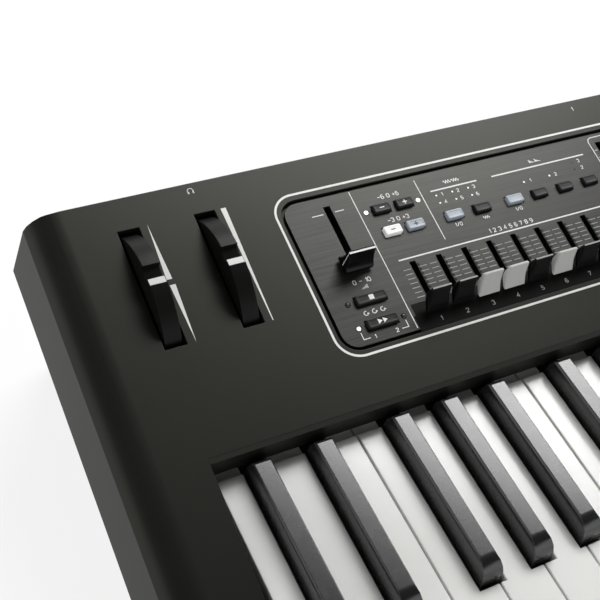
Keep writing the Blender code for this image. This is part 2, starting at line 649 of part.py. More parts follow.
def make_top_case():
    outer = prism_mesh("top_case", [case_profile(SKIRT_HEIGHT)], -HALF_DEPTH, HALF_DEPTH, "XZ")
    case = add_part("top_case", slope_mesh(outer), "case_black")
    wide = CAVITY_HALF_WIDTH
    corner = CAVITY_CORNER_DEPTH
    inside = [(wide, -0.15), (wide, -CASE_WALL - corner),
              (wide - CAVITY_CORNER_WIDTH * 0.44, -CASE_WALL - corner * 0.21),
              (wide - CAVITY_CORNER_WIDTH, -CASE_WALL)]
    inside += [(-x, d) for x, d in reversed(inside)]
    inner_y = HALF_DEPTH - FRONT_WALL
    cavity = add_cutter("case_cavity", slope_mesh(prism_mesh("case_cavity", [inside], -inner_y, inner_y, "XZ")))
    block_x = OPENING_HALF_WIDTH + BLOCK_WALL
    block = box_mesh("key_block", (-block_x, block_x),
                     (OPENING_FRONT_Y - BLOCK_WALL, PANEL_FRONT_Y + BLOCK_WALL), (-0.2, 0.2))
    boolean(cavity, add_cutter("key_block", block))
    boolean(case, cavity)
    opening = box_mesh("key_opening", (-OPENING_HALF_WIDTH, OPENING_HALF_WIDTH),
                       (OPENING_FRONT_Y, PANEL_FRONT_Y), (-0.25, 0.25))
    boolean(case, add_cutter("key_opening", opening))
    passage = box_mesh("lever_passage", (-OPENING_HALF_WIDTH, OPENING_HALF_WIDTH),
                       (PANEL_FRONT_Y - 0.001, PANEL_FRONT_Y + BLOCK_WALL + 0.001),
                       (-0.1, WHITE_TOP_Z + LEVER_HEADROOM))
    boolean(case, add_cutter("lever_passage", passage))
    chamfer = [(-0.001, -PANEL_CHAMFER - 0.001), (PANEL_CHAMFER + 0.001, 0.001), (-0.001, 0.001)]
    boolean(case, add_cutter("panel_chamfer", prism_mesh("panel_chamfer", [chamfer], -OPENING_HALF_WIDTH,
                                                         OPENING_HALF_WIDTH, "YZ"), SLAB_FRAME))
    seat = PLATE_TOP_W - PLATE_THICK - CLEAR
    recess = rounded_rectangle(*plate_limits(PLATE_GAP), PLATE_RADIUS + PLATE_GAP)
    boolean(case, add_cutter("plate_recess", prism_mesh("plate_recess", [recess], seat, 0.01), PLATE_FRAME))
    through = rounded_rectangle(*plate_limits(-LEDGE), PLATE_RADIUS - LEDGE)
    boolean(case, add_cutter("plate_window", prism_mesh("plate_window", [through], -0.02, 0.01), PLATE_FRAME))
    for index in range(2):
        outline = around(wheel_x(index), WHEEL_U, WHEEL_WIDTH + 2 * WHEEL_SIDE_GAP, WHEEL_SLOT_LENGTH)
        name = "wheel_slot_" + str(index + 1)
        boolean(case, add_cutter(name, prism_mesh(name, [outline], -0.02, 0.01), SLAB_FRAME))


def make_bottom_case():
    """Tray that tucks inside the skirt of the top case, with a rim that follows the slope."""
    side = CAVITY_HALF_WIDTH - CLEAR
    end = HALF_DEPTH - FRONT_WALL - CLEAR
    block = box_mesh("bottom_case", (-side, side), (-end, end), (FOOT_HEIGHT, 0.12))
    tray = add_part("bottom_case", block, "tray_black")
    inside = box_mesh("tray_inside", (-side + TRAY_WALL, side - TRAY_WALL),
                      (-end + TRAY_WALL, end - TRAY_REAR_WALL), (FOOT_HEIGHT + TRAY_FLOOR, 0.15))
    boolean(tray, add_cutter("tray_inside", inside))
    reach = 2 * side
    plan = rectangle((-reach, reach), (-2 * end, 2 * end))
    above = prism_mesh("above_rim", [plan], TRAY_TUCK - SKIRT_HEIGHT, reach)
    boolean(tray, add_cutter("above_rim", slope_mesh(above)))
    window = box_mesh("jack_window", *jack_limits(0, end - 0.01, end + 0.01))
    boolean(tray, add_cutter("jack_window", window))


def jack_limits(gap, front, rear):
    """Box of the jack plate's place in the tray's rear wall, less a gap all round."""
    half = JACK_PLATE_HEIGHT / 2
    return ((JACK_PLATE_LEFT + gap, JACK_PLATE_LEFT + JACK_PLATE_WIDTH - gap), (front, rear),
            (JACK_Z - half + gap, JACK_Z + half - gap))


def make_jack_plate():
    """Plate in the tray's rear wall, with jack sockets and a mains inlet sunk into the block behind it."""
    end = HALF_DEPTH - FRONT_WALL - CLEAR
    block = box_mesh("jack_plate", *jack_limits(CLEAR, end - JACK_BLOCK_DEPTH, end - CLEAR))
    plate = add_part("jack_plate", block, "jack_black")
    for number in range(JACK_COUNT):
        name = "jack_bore_" + str(number + 1)
        bore = cylinder_mesh(name, JACK_RADIUS, end - JACK_BORE, end + 0.005, "Y", 12)
        bore.transform(Matrix.Translation((JACK_PLATE_LEFT + JACK_FIRST + number * JACK_PITCH, 0, JACK_Z)))
        boolean(plate, add_cutter(name, bore))
    x = JACK_PLATE_LEFT + INLET_PLACE
    hollow = box_mesh("inlet_bore", (x - INLET_WIDTH / 2, x + INLET_WIDTH / 2),
                      (end - INLET_BORE, end + 0.005), (JACK_Z - INLET_HEIGHT / 2, JACK_Z + INLET_HEIGHT / 2))
    boolean(plate, add_cutter("inlet_bore", hollow))


def make_feet():
    side = CAVITY_HALF_WIDTH - CLEAR - FOOT_INSET_X
    end = HALF_DEPTH - FRONT_WALL - CLEAR
    front = FOOT_FRONT_INSET - end
    rear = end - FOOT_REAR_INSET
    places = {"foot_front_left": (-side, front), "foot_front_right": (side, front),
              "foot_rear_left": (-side, rear), "foot_rear_right": (side, rear)}
    for name, (x, y) in places.items():
        mesh = cylinder_mesh(name, FOOT_RADIUS, 0, FOOT_HEIGHT - CLEAR, "Z", 24)
        foot = add_part(name, mesh, "foot_rubber")
        foot.location = (x, y, 0)


def display_limits(gap):
    """Plan of the display's window, less a gap all round."""
    return ((DISPLAY_LEFT + gap, DISPLAY_LEFT + DISPLAY_WIDTH - gap),
            (DISPLAY_FRONT_U + gap, DISPLAY_FRONT_U + DISPLAY_LENGTH - gap))


def panel_holes():
    """Outlines of every hole in the control plate, each from the piece that goes through it."""
    holes = []
    for name, x, u, width in BUTTONS:
        holes.append(around(x, u, width + 2 * BUTTON_GAP, BUTTON_LENGTH + 2 * BUTTON_GAP))
    for index in range(PRESET_COUNT):
        x = PRESET_FIRST_X + index * PRESET_PITCH
        holes.append(around(x, PRESET_U, PRESET_WIDTH + 2 * BUTTON_GAP, BUTTON_LENGTH + 2 * BUTTON_GAP))
    for index in range(DRAWBAR_COUNT):
        x = DRAWBAR_FIRST_X + index * DRAWBAR_PITCH
        half = DRAWBAR_SLOT_WIDTH / 2
        holes.append(rectangle((x - half, x + half), (DRAWBAR_SLOT_FRONT_U, DRAWBAR_SLOT_REAR_U)))
    for x in FADER_XS.values():
        half = FADER_SLOT_WIDTH / 2
        holes.append(rectangle((x - half, x + half), (FADER_SLOT_FRONT_U, FADER_SLOT_REAR_U)))
    holes.append(rectangle(*display_limits(0)))
    holes.append(circle(DIAL_X, DIAL_U, DIAL_SHAFT_RADIUS + 2 * CLEAR))
    return holes


def make_control_panel():
    low = PLATE_TOP_W - PLATE_THICK
    outline = rounded_rectangle(*plate_limits(0), PLATE_RADIUS)
    sheet = prism_mesh("control_panel", [outline], low, PLATE_TOP_W)
    panel = add_part("control_panel", sheet, "brushed_plate", PLATE_FRAME)
    holes = prism_mesh("panel_holes", panel_holes(), low - 0.002, PLATE_TOP_W + 0.002)
    boolean(panel, add_cutter("panel_holes", holes, PLATE_FRAME))
    places = [(share * PLATE_WIDTH, PLATE_REAR_U - POST_REAR_INSET) for share in POST_REAR_SHARES]
    places += [(share * PLATE_WIDTH, PLATE_FRONT_U + POST_FRONT_INSET) for share in POST_FRONT_SHARES]
    for number, (x, u) in enumerate(places):
        name = "board_post_" + str(number + 1)
        post = cylinder_mesh(name, POST_RADIUS, BOARD_TOP_W + CLEAR, low + PLATE_THICK / 2, "Z", 8)
        post.transform(Matrix.Translation((x, u, 0)))
        boolean(panel, add_cutter(name, post, PLATE_FRAME), "UNION")


def make_control_board():
    """Circuit board under the plate, with the bodies of the slide controls standing on it."""
    limits = plate_limits(-BOARD_INSET)
    sheet = box_mesh("control_board", *limits, (BOARD_TOP_W - BOARD_THICK, BOARD_TOP_W))
    board = add_part("control_board", sheet, "board_green", PLATE_FRAME)
    width, length = FADER_POT[:2]
    for name, x in FADER_XS.items():
        middle = FADER_REST_U + FADER_TRAVEL / 2
        pot = box_mesh(name + "_pot", (x - width / 2, x + width / 2),
                       (middle - length / 2, middle + length / 2),
                       (BOARD_TOP_W - BOARD_THICK / 2, SLIDER_TOP_W))
        boolean(board, add_cutter(name + "_pot", pot, PLATE_FRAME), "UNION")
    left = DRAWBAR_FIRST_X - DRAWBAR_PITCH / 2
    right = left + DRAWBAR_COUNT * DRAWBAR_PITCH
    block = box_mesh("drawbar_pots", (left, right),
                     (PLATE_FRONT_U + BOARD_INSET + 0.001, DRAWBAR_SLOT_REAR_U + 0.003),
                     (BOARD_TOP_W - BOARD_THICK / 2, SLIDER_TOP_W))
    boolean(board, add_cutter("drawbar_pots", block, PLATE_FRAME), "UNION")


def make_wheels():
    """Pitch and modulation wheels on one axle in a forked bracket."""
    axis = SLAB @ Vector((0, WHEEL_U, WHEEL_AXIS_W))
    for index, name in enumerate(("pitch_wheel", "mod_wheel")):
        mesh = cylinder_mesh(name, WHEEL_RADIUS, -WHEEL_WIDTH / 2, WHEEL_WIDTH / 2, "X", 64)
        wheel = add_part(name, mesh, "wheel_rubber")
        wheel.location = (wheel_x(index), axis.y, axis.z)
        bore = cylinder_mesh(name + "_bore", AXLE_RADIUS + AXLE_CLEAR, -WHEEL_WIDTH, WHEEL_WIDTH, "X", 16)
        bore_cutter = add_cutter(name + "_bore", bore)
        bore_cutter.location = wheel.location
        boolean(wheel, bore_cutter)
        half = WHEEL_NOTCH_WIDTH / 2
        deep = WHEEL_RADIUS - WHEEL_NOTCH_DEPTH
        over = WHEEL_RADIUS + 0.002
        notch = [(-half, deep), (half / 2, deep), (half, over), (-half, over)]
        mesh = prism_mesh(name + "_notch", [notch], -WHEEL_WIDTH, WHEEL_WIDTH, "YZ")
        mesh.transform(Matrix.Rotation(SLOPE - WHEEL_NOTCH_TURN, 4, "X"))
        notch_cutter = add_cutter(name + "_notch", mesh)
        notch_cutter.location = wheel.location
        boolean(wheel, notch_cutter)
    low = FOOT_HEIGHT + TRAY_FLOOR + CLEAR
    step = WHEEL_PITCH / 2
    floor = low + BRACKET_WALL
    top = axis.z + BRACKET_ABOVE_AXLE
    half = BRACKET_WALL / 2
    walls = [wheel_x(0) - step / 2, wheel_x(0) + step, wheel_x(1) + step / 2]
    points = [(walls[0] - half, low), (walls[2] + half, low)]
    for x in reversed(walls):
        if x != walls[2]:
            points.append((x + half, floor))
        points += [(x + half, top), (x - half, top)]
        if x != walls[0]:
            points.append((x - half, floor))
    y = (axis.y - BRACKET_DEPTH / 2, axis.y + BRACKET_DEPTH / 2)
    bracket = add_part("wheel_bracket", prism_mesh("wheel_bracket", [points], *y, "XZ"), "bracket_metal")
    axle = cylinder_mesh("wheel_axle", AXLE_RADIUS, walls[0], walls[2], "X", 16)
    axle.transform(Matrix.Translation((0, axis.y, axis.z)))
    boolean(bracket, add_cutter("wheel_axle", axle), "UNION")


def make_faders():
    """Wedge caps on stems that reach down to the slide controls."""
    base = FADER_CAP_LENGTH / 2
    ridge = FADER_RIDGE / 2
    low = FADER_CAP_LIFT
    high = low + FADER_CAP_HEIGHT
    skirt = low + 0.0015
    profile = [(-base, low), (base, low), (base, skirt), (ridge, high), (-ridge, high), (-base, skirt)]
    stem_z = (SLIDER_TOP_W + POT_GAP, low + 0.002)
    width, length = FADER_STEM
    for name, x in FADER_XS.items():
        mesh = prism_mesh(name, [profile], -FADER_CAP_WIDTH / 2, FADER_CAP_WIDTH / 2, "YZ")
        cap = add_part(name, mesh, "cap_black", PLATE_FRAME)
        cap.location = (x, FADER_REST_U, 0)
        stem = box_mesh(name + "_stem", (-width / 2, width / 2), (-length / 2, length / 2), stem_z)
        stem_union = add_cutter(name + "_stem", stem, PLATE_FRAME)
        stem_union.location = cap.location
        boolean(cap, stem_union, "UNION")


def make_drawbars():
    """Knobs that lean back from the player and slant down behind, all pulled out."""
    low = DRAWBAR_LIFT
    high = low + DRAWBAR_HEIGHT
    front = DRAWBAR_FRONT_U - DRAWBAR_STEM_U
    tip = front + DRAWBAR_LEAN
    back = front + DRAWBAR_BASE
    profile = [(front, low), (back, low), (back, low + DRAWBAR_KNEE), (tip + DRAWBAR_TIP, high), (tip, high)]
    width, length = DRAWBAR_STEM
    stem_z = (SLIDER_TOP_W + POT_GAP, low + 0.002)
    for index in range(DRAWBAR_COUNT):
        name = "drawbar_" + str(index + 1)
        colour = "drawbar_white" if index + 1 in WHITE_DRAWBARS else "cap_black"
        mesh = prism_mesh(name, [profile], -DRAWBAR_WIDTH / 2, DRAWBAR_WIDTH / 2, "YZ")
        bar = add_part(name, mesh, colour, PLATE_FRAME)
        bar.location = (DRAWBAR_FIRST_X + index * DRAWBAR_PITCH, DRAWBAR_STEM_U, 0)
        bevel(bar, DRAWBAR_EDGE, 2, math.radians(20))
        stem = box_mesh(name + "_stem", (-width / 2, width / 2), (-length / 2, length / 2), stem_z)
        stem_union = add_cutter(name + "_stem", stem, PLATE_FRAME)
        stem_union.location = bar.location
        boolean(bar, stem_union, "UNION")


def cap_mesh(name, x, u, width):
    """A button cap whose top edges are softened, standing down to its switch."""
    low = BOARD_TOP_W + BUTTON_TRAVEL + SWITCH_GAP
    high = PLATE_TOP_W + BUTTON_PROUD
    length = BUTTON_LENGTH
    block = box_mesh(name + "_block", (x - width / 2, x + width / 2),
                     (u - length / 2, u + length / 2), (low, high))
    shape = bmesh.new()
    shape.from_mesh(block)
    top = max(vertex.co.z for vertex in shape.verts)
    edges = [edge for edge in shape.edges if all(vertex.co.z > top - 1e-6 for vertex in edge.verts)]
    bmesh.ops.bevel(shape, geom=edges, offset=BUTTON_EDGE, segments=2, profile=0.5, affect="EDGES")
    mesh = bpy.data.meshes.new(name)
    shape.to_mesh(mesh)
    shape.free()
    bpy.data.meshes.remove(block)
    return mesh


def make_buttons():
    for name, x, u, width in BUTTONS:
        colour = "button_pale" if name in PALE_BUTTONS else "button_dark"
        add_part(name, cap_mesh(name, 0, 0, width), colour, PLATE_FRAME).location = (x, u, 0)
    low = BOARD_TOP_W + BUTTON_TRAVEL + SWITCH_GAP
    last = PRESET_FIRST_X + (PRESET_COUNT - 1) * PRESET_PITCH
    side = PRESET_WIDTH / 2 + PRESET_WEB_MARGIN
    half = BUTTON_LENGTH / 2 + PRESET_WEB_MARGIN / 2
    web = box_mesh("preset_buttons", (PRESET_FIRST_X - side, last + side),
                   (PRESET_U - half, PRESET_U + half), (low, low + PRESET_WEB))
    strip = add_part("preset_buttons", web, "button_dark", PLATE_FRAME)
    for index in range(PRESET_COUNT):
        name = "preset_cap_" + str(index + 1)
        cap = cap_mesh(name, PRESET_FIRST_X + index * PRESET_PITCH, PRESET_U, PRESET_WIDTH)
        cap.transform(Matrix.Translation((0, 0, PRESET_WEB / 2)))
        boolean(strip, add_cutter(name, cap, PLATE_FRAME), "UNION")


def make_display_and_dial():
    window = box_mesh("display_window", *display_limits(CLEAR),
                      (PLATE_TOP_W - DISPLAY_THICK, PLATE_TOP_W + DISPLAY_PROUD))
    add_part("display_window", window, "glass_dark", PLATE_FRAME)
    low = PLATE_TOP_W + DIAL_LIFT
    knob = cylinder_mesh("data_dial", DIAL_RADIUS, low, low + DIAL_HEIGHT, "Z", 32)
    dial = add_part("data_dial", knob, "cap_black", PLATE_FRAME)
    dial.location = (DIAL_X, DIAL_U, 0)
    bevel(dial, DIAL_EDGE, 2, math.radians(60))
    shaft = cylinder_mesh("dial_shaft", DIAL_SHAFT_RADIUS, BOARD_TOP_W + POT_GAP, low + 0.002, "Z", 16)
    shaft_union = add_cutter("dial_shaft", shaft, PLATE_FRAME)
    shaft_union.location = dial.location
    boolean(dial, shaft_union, "UNION")


def main():
    make_keys()
    make_key_chassis()
    make_top_case()
    make_bottom_case()
    make_jack_plate()
    make_feet()
    make_control_panel()
    make_control_board()
    make_wheels()
    make_faders()
    make_drawbars()
    make_buttons()
    make_display_and_dial()
    print("pieces:", len(PARTS.objects) - 2)


main()
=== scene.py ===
# %% [markdown]
# # A stage keyboard, dressed for its picture
# The exact solids of this keyboard were made beforehand: case, tray, keys, wheels, faders, drawbars and
# buttons. This lesson gives them the finish of the real thing: softened edges, printed lines, lit lamps,
# brushed metal and glossy keys. Everything is in metres, in the same frame as the solids.

# %% Load the solids
import json
import math

import bmesh
import bpy
from mathutils import Matrix, Vector


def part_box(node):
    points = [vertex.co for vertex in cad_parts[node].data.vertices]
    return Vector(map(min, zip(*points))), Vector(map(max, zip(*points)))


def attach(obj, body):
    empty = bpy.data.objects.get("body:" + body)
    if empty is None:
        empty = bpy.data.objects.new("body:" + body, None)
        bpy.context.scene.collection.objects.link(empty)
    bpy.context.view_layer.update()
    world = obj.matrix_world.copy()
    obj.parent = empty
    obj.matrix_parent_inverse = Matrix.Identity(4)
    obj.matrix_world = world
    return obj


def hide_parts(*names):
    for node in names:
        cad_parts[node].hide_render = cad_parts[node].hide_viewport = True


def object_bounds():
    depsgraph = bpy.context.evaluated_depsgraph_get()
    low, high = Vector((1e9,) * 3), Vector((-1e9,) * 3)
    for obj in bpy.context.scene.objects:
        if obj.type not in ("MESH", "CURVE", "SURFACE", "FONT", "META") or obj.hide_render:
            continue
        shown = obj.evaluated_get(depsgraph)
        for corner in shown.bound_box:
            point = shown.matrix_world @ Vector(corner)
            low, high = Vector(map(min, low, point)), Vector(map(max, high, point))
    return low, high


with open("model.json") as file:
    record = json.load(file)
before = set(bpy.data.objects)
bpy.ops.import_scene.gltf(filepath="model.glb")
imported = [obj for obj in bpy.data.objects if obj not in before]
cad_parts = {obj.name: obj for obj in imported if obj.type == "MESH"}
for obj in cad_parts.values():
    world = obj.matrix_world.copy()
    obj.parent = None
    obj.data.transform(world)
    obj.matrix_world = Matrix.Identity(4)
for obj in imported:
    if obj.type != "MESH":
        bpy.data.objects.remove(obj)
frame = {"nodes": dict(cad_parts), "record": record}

solid_box = [list(corner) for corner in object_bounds()]
SOLIDS = frame["nodes"]
print("solids:", len(SOLIDS))

# %% [markdown]
# The top of the case slopes up towards the rear, and all controls stand square to it. So the lesson works in
# two frames: the room's, and one that lies on the slope, with x along the keys, u towards the rear and w
# square to the surface. One matrix turns the second into the first.

# %% The sloping frame
SLOPE = math.radians(11.8)
SLAB = Matrix.Translation((0, 0.0153, 0.0789)) @ Matrix.Rotation(SLOPE, 4, "X")
TO_SLAB = SLAB.inverted()
PLATE_TOP = -0.0004
ROOM = Matrix.Identity(4)
print("slope:", round(math.degrees(SLOPE), 1), "degrees")

# %% [markdown]
# The camera comes first, because every later choice is judged through it. It looks down from the player's
# left, close enough that only the left half of the keyboard fits in. A camera's place is a point and three
# directions: to the right, up, and backwards.

# %% The camera
IMAGE_WIDTH = 600
SENSOR = 36.0
FOCAL_PIXELS = 1086.45
CAMERA_PLACE = (-0.5523, -0.2045, 0.4762)
camera_data = bpy.data.cameras.new("player_left")
camera_data.sensor_width = SENSOR
camera_data.lens = SENSOR * FOCAL_PIXELS / IMAGE_WIDTH
camera_data.shift_x = -0.0554
camera_data.shift_y = 0.0024
camera_data.clip_start = 0.01
camera = bpy.data.objects.new("player_left", camera_data)
bpy.context.scene.collection.objects.link(camera)
rightwards = Vector((0.8795, -0.4472, 0.1628))
upwards = Vector((0.2461, 0.7201, 0.6488))
backwards = Vector((-0.4074, -0.5305, 0.7434))
turn = Matrix((rightwards, upwards, backwards)).transposed().to_quaternion().normalized()
camera.matrix_world = Matrix.Translation(CAMERA_PLACE) @ turn.to_matrix().to_4x4()
bpy.context.scene.camera = camera
print("lens:", round(camera_data.lens, 1), "mm")

# %% [markdown]
# The keyboard stands on a plain white floor. For the camera, and in reflections, most of the floor's white
# is its own light, so it stays white; the rest is ordinary matt paint, which keeps the keyboard's shadow.

# %% Floor
WHITE = (1.0, 1.0, 1.0, 1.0)
FLOOR_HALF = 4.0
FLOOR_PAINT = 0.85
FLOOR_OWN_LIGHT = 0.80
FLOOR_GLOW = 1.06
FLOOR_GAP = 0.0002


def seen_directly(tree):
    """One where a ray comes from the camera, a mirror or glass, and nought for light that spreads."""
    path = tree.nodes.new("ShaderNodeLightPath")
    total = path.outputs["Is Camera Ray"]
    for kind in ("Is Glossy Ray", "Is Transmission Ray"):
        adder = tree.nodes.new("ShaderNodeMath")
        adder.operation = "ADD"
        adder.use_clamp = True
        tree.links.new(total, adder.inputs[0])
        tree.links.new(path.outputs[kind], adder.inputs[1])
        total = adder.outputs[0]
    return total


def floor_white():
    finish = bpy.data.materials.new("floor_white")
    finish.use_nodes = True
    tree = finish.node_tree
    tree.nodes.clear()
    paint = tree.nodes.new("ShaderNodeBsdfDiffuse")
    paint.inputs["Color"].default_value = (FLOOR_PAINT, FLOOR_PAINT, FLOOR_PAINT, 1.0)
    glow = tree.nodes.new("ShaderNodeEmission")
    glow.inputs["Color"].default_value = WHITE
    glow.inputs["Strength"].default_value = FLOOR_GLOW
    share = tree.nodes.new("ShaderNodeMath")
    share.operation = "MULTIPLY"
    share.inputs[1].default_value = FLOOR_OWN_LIGHT
    tree.links.new(seen_directly(tree), share.inputs[0])
    mix = tree.nodes.new("ShaderNodeMixShader")
    out = tree.nodes.new("ShaderNodeOutputMaterial")
    tree.links.new(share.outputs[0], mix.inputs["Fac"])
    tree.links.new(paint.outputs["BSDF"], mix.inputs[1])
    tree.links.new(glow.outputs["Emission"], mix.inputs[2])
    tree.links.new(mix.outputs["Shader"], out.inputs["Surface"])
    return finish


floor_mesh = bpy.data.meshes.new("floor")
floor_shape = bmesh.new()
bmesh.ops.create_grid(floor_shape, x_segments=8, y_segments=8, size=FLOOR_HALF)
floor_shape.to_mesh(floor_mesh)
floor_shape.free()
floor_mesh.materials.append(floor_white())
floor = bpy.data.objects.new("floor", floor_mesh)
floor.location.z = solid_box[0][2] - FLOOR_GAP
bpy.context.scene.collection.objects.link(floor)
print("floor height:", round(floor.location.z, 4))

# %% [markdown]
# A product photographer lights a black, shiny thing with one large soft lamp, behind it and a little to the
# right, so the shadows fall towards the player. The rest of the room is bright low down, where its white
# walls stand, and dark overhead. A level black surface then reflects darkness, and an upright one a wall.

# %% Lamp and room
WALL_LIGHT = 1.38
CEILING_LIGHT = 0.030
WALL_ENDS = 0.30
CEILING_STARTS = 0.66
PICTURE_MIDDLE = Vector((-0.25, 0.0, 0.08))


def softbox(name, direction, distance, width, height, watts):
    """A flat lamp, at a distance from the middle of the picture, facing it."""
    data = bpy.data.lights.new(name, "AREA")
    data.shape = "RECTANGLE"
    data.size = width
    data.size_y = height
    data.energy = watts
    lamp = bpy.data.objects.new(name, data)
    bpy.context.scene.collection.objects.link(lamp)
    away = Vector(direction).normalized()
    facing = away.to_track_quat("Z", "Y").to_matrix().to_4x4()
    lamp.matrix_world = Matrix.Translation(PICTURE_MIDDLE + away * distance) @ facing


softbox("rear_softbox", (0.42, 0.55, 0.74), distance=1.9, width=1.3, height=0.7, watts=33)

world = bpy.data.worlds.new("studio_room")
world.use_nodes = True
bpy.context.scene.world = world
tree = world.node_tree
tree.nodes.clear()
direction = tree.nodes.new("ShaderNodeTexCoord")
parts = tree.nodes.new("ShaderNodeSeparateXYZ")
height = tree.nodes.new("ShaderNodeMapRange")
height.interpolation_type = "SMOOTHSTEP"
height.inputs["From Min"].default_value = WALL_ENDS
height.inputs["From Max"].default_value = CEILING_STARTS
height.inputs["To Min"].default_value = WALL_LIGHT
height.inputs["To Max"].default_value = CEILING_LIGHT
room_light = tree.nodes.new("ShaderNodeBackground")
room_light.inputs["Color"].default_value = WHITE
white_wall = tree.nodes.new("ShaderNodeBackground")
white_wall.inputs["Color"].default_value = WHITE
seen = tree.nodes.new("ShaderNodeLightPath")
choose = tree.nodes.new("ShaderNodeMixShader")
world_out = tree.nodes.new("ShaderNodeOutputWorld")
tree.links.new(direction.outputs["Generated"], parts.inputs["Vector"])
tree.links.new(parts.outputs["Z"], height.inputs["Value"])
tree.links.new(height.outputs["Result"], room_light.inputs["Strength"])
tree.links.new(seen.outputs["Is Camera Ray"], choose.inputs["Fac"])
tree.links.new(room_light.outputs["Background"], choose.inputs[1])
tree.links.new(white_wall.outputs["Background"], choose.inputs[2])
tree.links.new(choose.outputs["Shader"], world_out.inputs["Surface"])
bpy.context.scene.view_settings.view_transform = "Standard"
print("lamps:", len(bpy.data.lights))

# %% [markdown]
# Finishes are made of nodes. Each starts from the standard shader with fixed numbers on its own sockets, and
# then gets what varies over the surface: a fine grain, a slight change of gloss, a brushed direction. Three
# small helpers do this for every finish.

# %% Helpers for finishes
NOISE_LOW = 0.3
NOISE_HIGH = 0.7


def new_finish(name, colour, roughness, **sockets):
    """A finish with the standard shader. Words of a socket's name are joined by an underscore."""
    finish = bpy.data.materials.new(name)
    finish.use_nodes = True
    shader = finish.node_tree.nodes["Principled BSDF"]
    shader.inputs["Base Color"].default_value = (*colour, 1.0)
    shader.inputs["Roughness"].default_value = roughness
    for socket, value in sockets.items():
        shader.inputs[socket.replace("_", " ")].default_value = value
    return finish


def grain(finish, size, stretch=(1, 1, 1), detail=2.0):
    """Noise whose cells are about size metres wide, stretched along the axes."""
    tree = finish.node_tree
    place = tree.nodes.new("ShaderNodeTexCoord")
    mapping = tree.nodes.new("ShaderNodeMapping")
    mapping.inputs["Scale"].default_value = [1 / (size * s) for s in stretch]
    noise = tree.nodes.new("ShaderNodeTexNoise")
    noise.inputs["Scale"].default_value = 1.0
    noise.inputs["Detail"].default_value = detail
    tree.links.new(place.outputs["Object"], mapping.inputs["Vector"])
    tree.links.new(mapping.outputs["Vector"], noise.inputs["Vector"])
    return noise.outputs["Fac"]


def vary(finish, height, socket, low, high):
    """The noise runs a socket between two values: two numbers, or two colours."""
    tree = finish.node_tree
    shader = tree.nodes["Principled BSDF"]
    if isinstance(low, tuple):
        ramp = tree.nodes.new("ShaderNodeValToRGB")
        ramp.color_ramp.elements[0].position = NOISE_LOW
        ramp.color_ramp.elements[1].position = NOISE_HIGH
        ramp.color_ramp.elements[0].color = (*low, 1.0)
        ramp.color_ramp.elements[1].color = (*high, 1.0)
        tree.links.new(height, ramp.inputs["Fac"])
        tree.links.new(ramp.outputs["Color"], shader.inputs[socket])
        return
    remap = tree.nodes.new("ShaderNodeMapRange")
    remap.inputs["From Min"].default_value = NOISE_LOW
    remap.inputs["From Max"].default_value = NOISE_HIGH
    remap.inputs["To Min"].default_value = low
    remap.inputs["To Max"].default_value = high
    tree.links.new(height, remap.inputs["Value"])
    tree.links.new(remap.outputs["Result"], shader.inputs[socket])


def emboss(finish, height, depth):
    """The noise lifts the surface by up to depth metres."""
    tree = finish.node_tree
    bump = tree.nodes.new("ShaderNodeBump")
    bump.inputs["Distance"].default_value = depth
    tree.links.new(height, bump.inputs["Height"])
    tree.links.new(bump.outputs["Normal"], tree.nodes["Principled BSDF"].inputs["Normal"])


print("helpers ready")

# %% [markdown]
# The case is moulded in satin black with a very fine texture, which breaks reflections up. The tray below
# has a coarser one. Both are near black, and what is seen of them is mostly reflected light.

# %% Case and tray
def satin_black():
    finish = new_finish("satin_black", (0.010, 0.010, 0.009), 0.40, Specular_Tint=(1.0, 1.0, 0.88, 1.0),
                        Specular_IOR_Level=0.26)
    fine = grain(finish, 0.00035, detail=1.0)
    vary(finish, fine, "Roughness", 0.36, 0.44)
    emboss(finish, fine, 0.000012)
    vary(finish, grain(finish, 0.06), "Base Color", (0.0095, 0.0095, 0.0085), (0.0115, 0.0115, 0.0102))
    return finish


def textured_black(name, colour=0.020):
    finish = new_finish(name, (colour,) * 3, 0.6)
    coarse = grain(finish, 0.0009)
    vary(finish, coarse, "Roughness", 0.5, 0.7)
    emboss(finish, coarse, 0.00008)
    return finish


CASE_BLACK = satin_black()
TRAY_BLACK = textured_black("tray_texture")
JACK_BLACK = textured_black("jack_texture", 0.016)
print("case finishes:", CASE_BLACK.name, TRAY_BLACK.name, JACK_BLACK.name)

# %% [markdown]
# The control plate is dark anodised aluminium, brushed from left to right. The brush leaves hair-thin lines,
# which are noise stretched to ninety times its width. They change the gloss, the tone and the height.

# %% Brushed plate
def brushed_metal():
    finish = new_finish("brushed_plate", (0.04, 0.04, 0.038), 0.42, Metallic=0.85)
    lines = grain(finish, 0.00045, stretch=(90, 1, 1), detail=3.0)
    vary(finish, lines, "Roughness", 0.38, 0.46)
    vary(finish, lines, "Base Color", (0.034, 0.034, 0.032), (0.060, 0.060, 0.056))
    emboss(finish, lines, 0.000012)
    return finish


def sheet_metal(name):
    finish = new_finish(name, (0.55, 0.55, 0.56), 0.35, Metallic=1.0)
    vary(finish, grain(finish, 0.004, stretch=(4, 1, 1)), "Roughness", 0.28, 0.45)
    return finish


PLATE_METAL = brushed_metal()
BED_METAL = sheet_metal("bed_sheet")
BRACKET_METAL = sheet_metal("bracket_sheet")
print("metals:", PLATE_METAL.name, BED_METAL.name, BRACKET_METAL.name)

# %% [markdown]
# White keys are moulded in an acrylic-like plastic: bright, glossy, and a little see-through at the edges.
# Black keys are almost as glossy. On both the gloss changes slightly, where fingers have been.

# %% Keys
def key_plastic(name, colour, rough, **sockets):
    finish = new_finish(name, colour, rough[0], **sockets)
    vary(finish, grain(finish, 0.006, detail=1.0), "Roughness", *rough)
    return finish


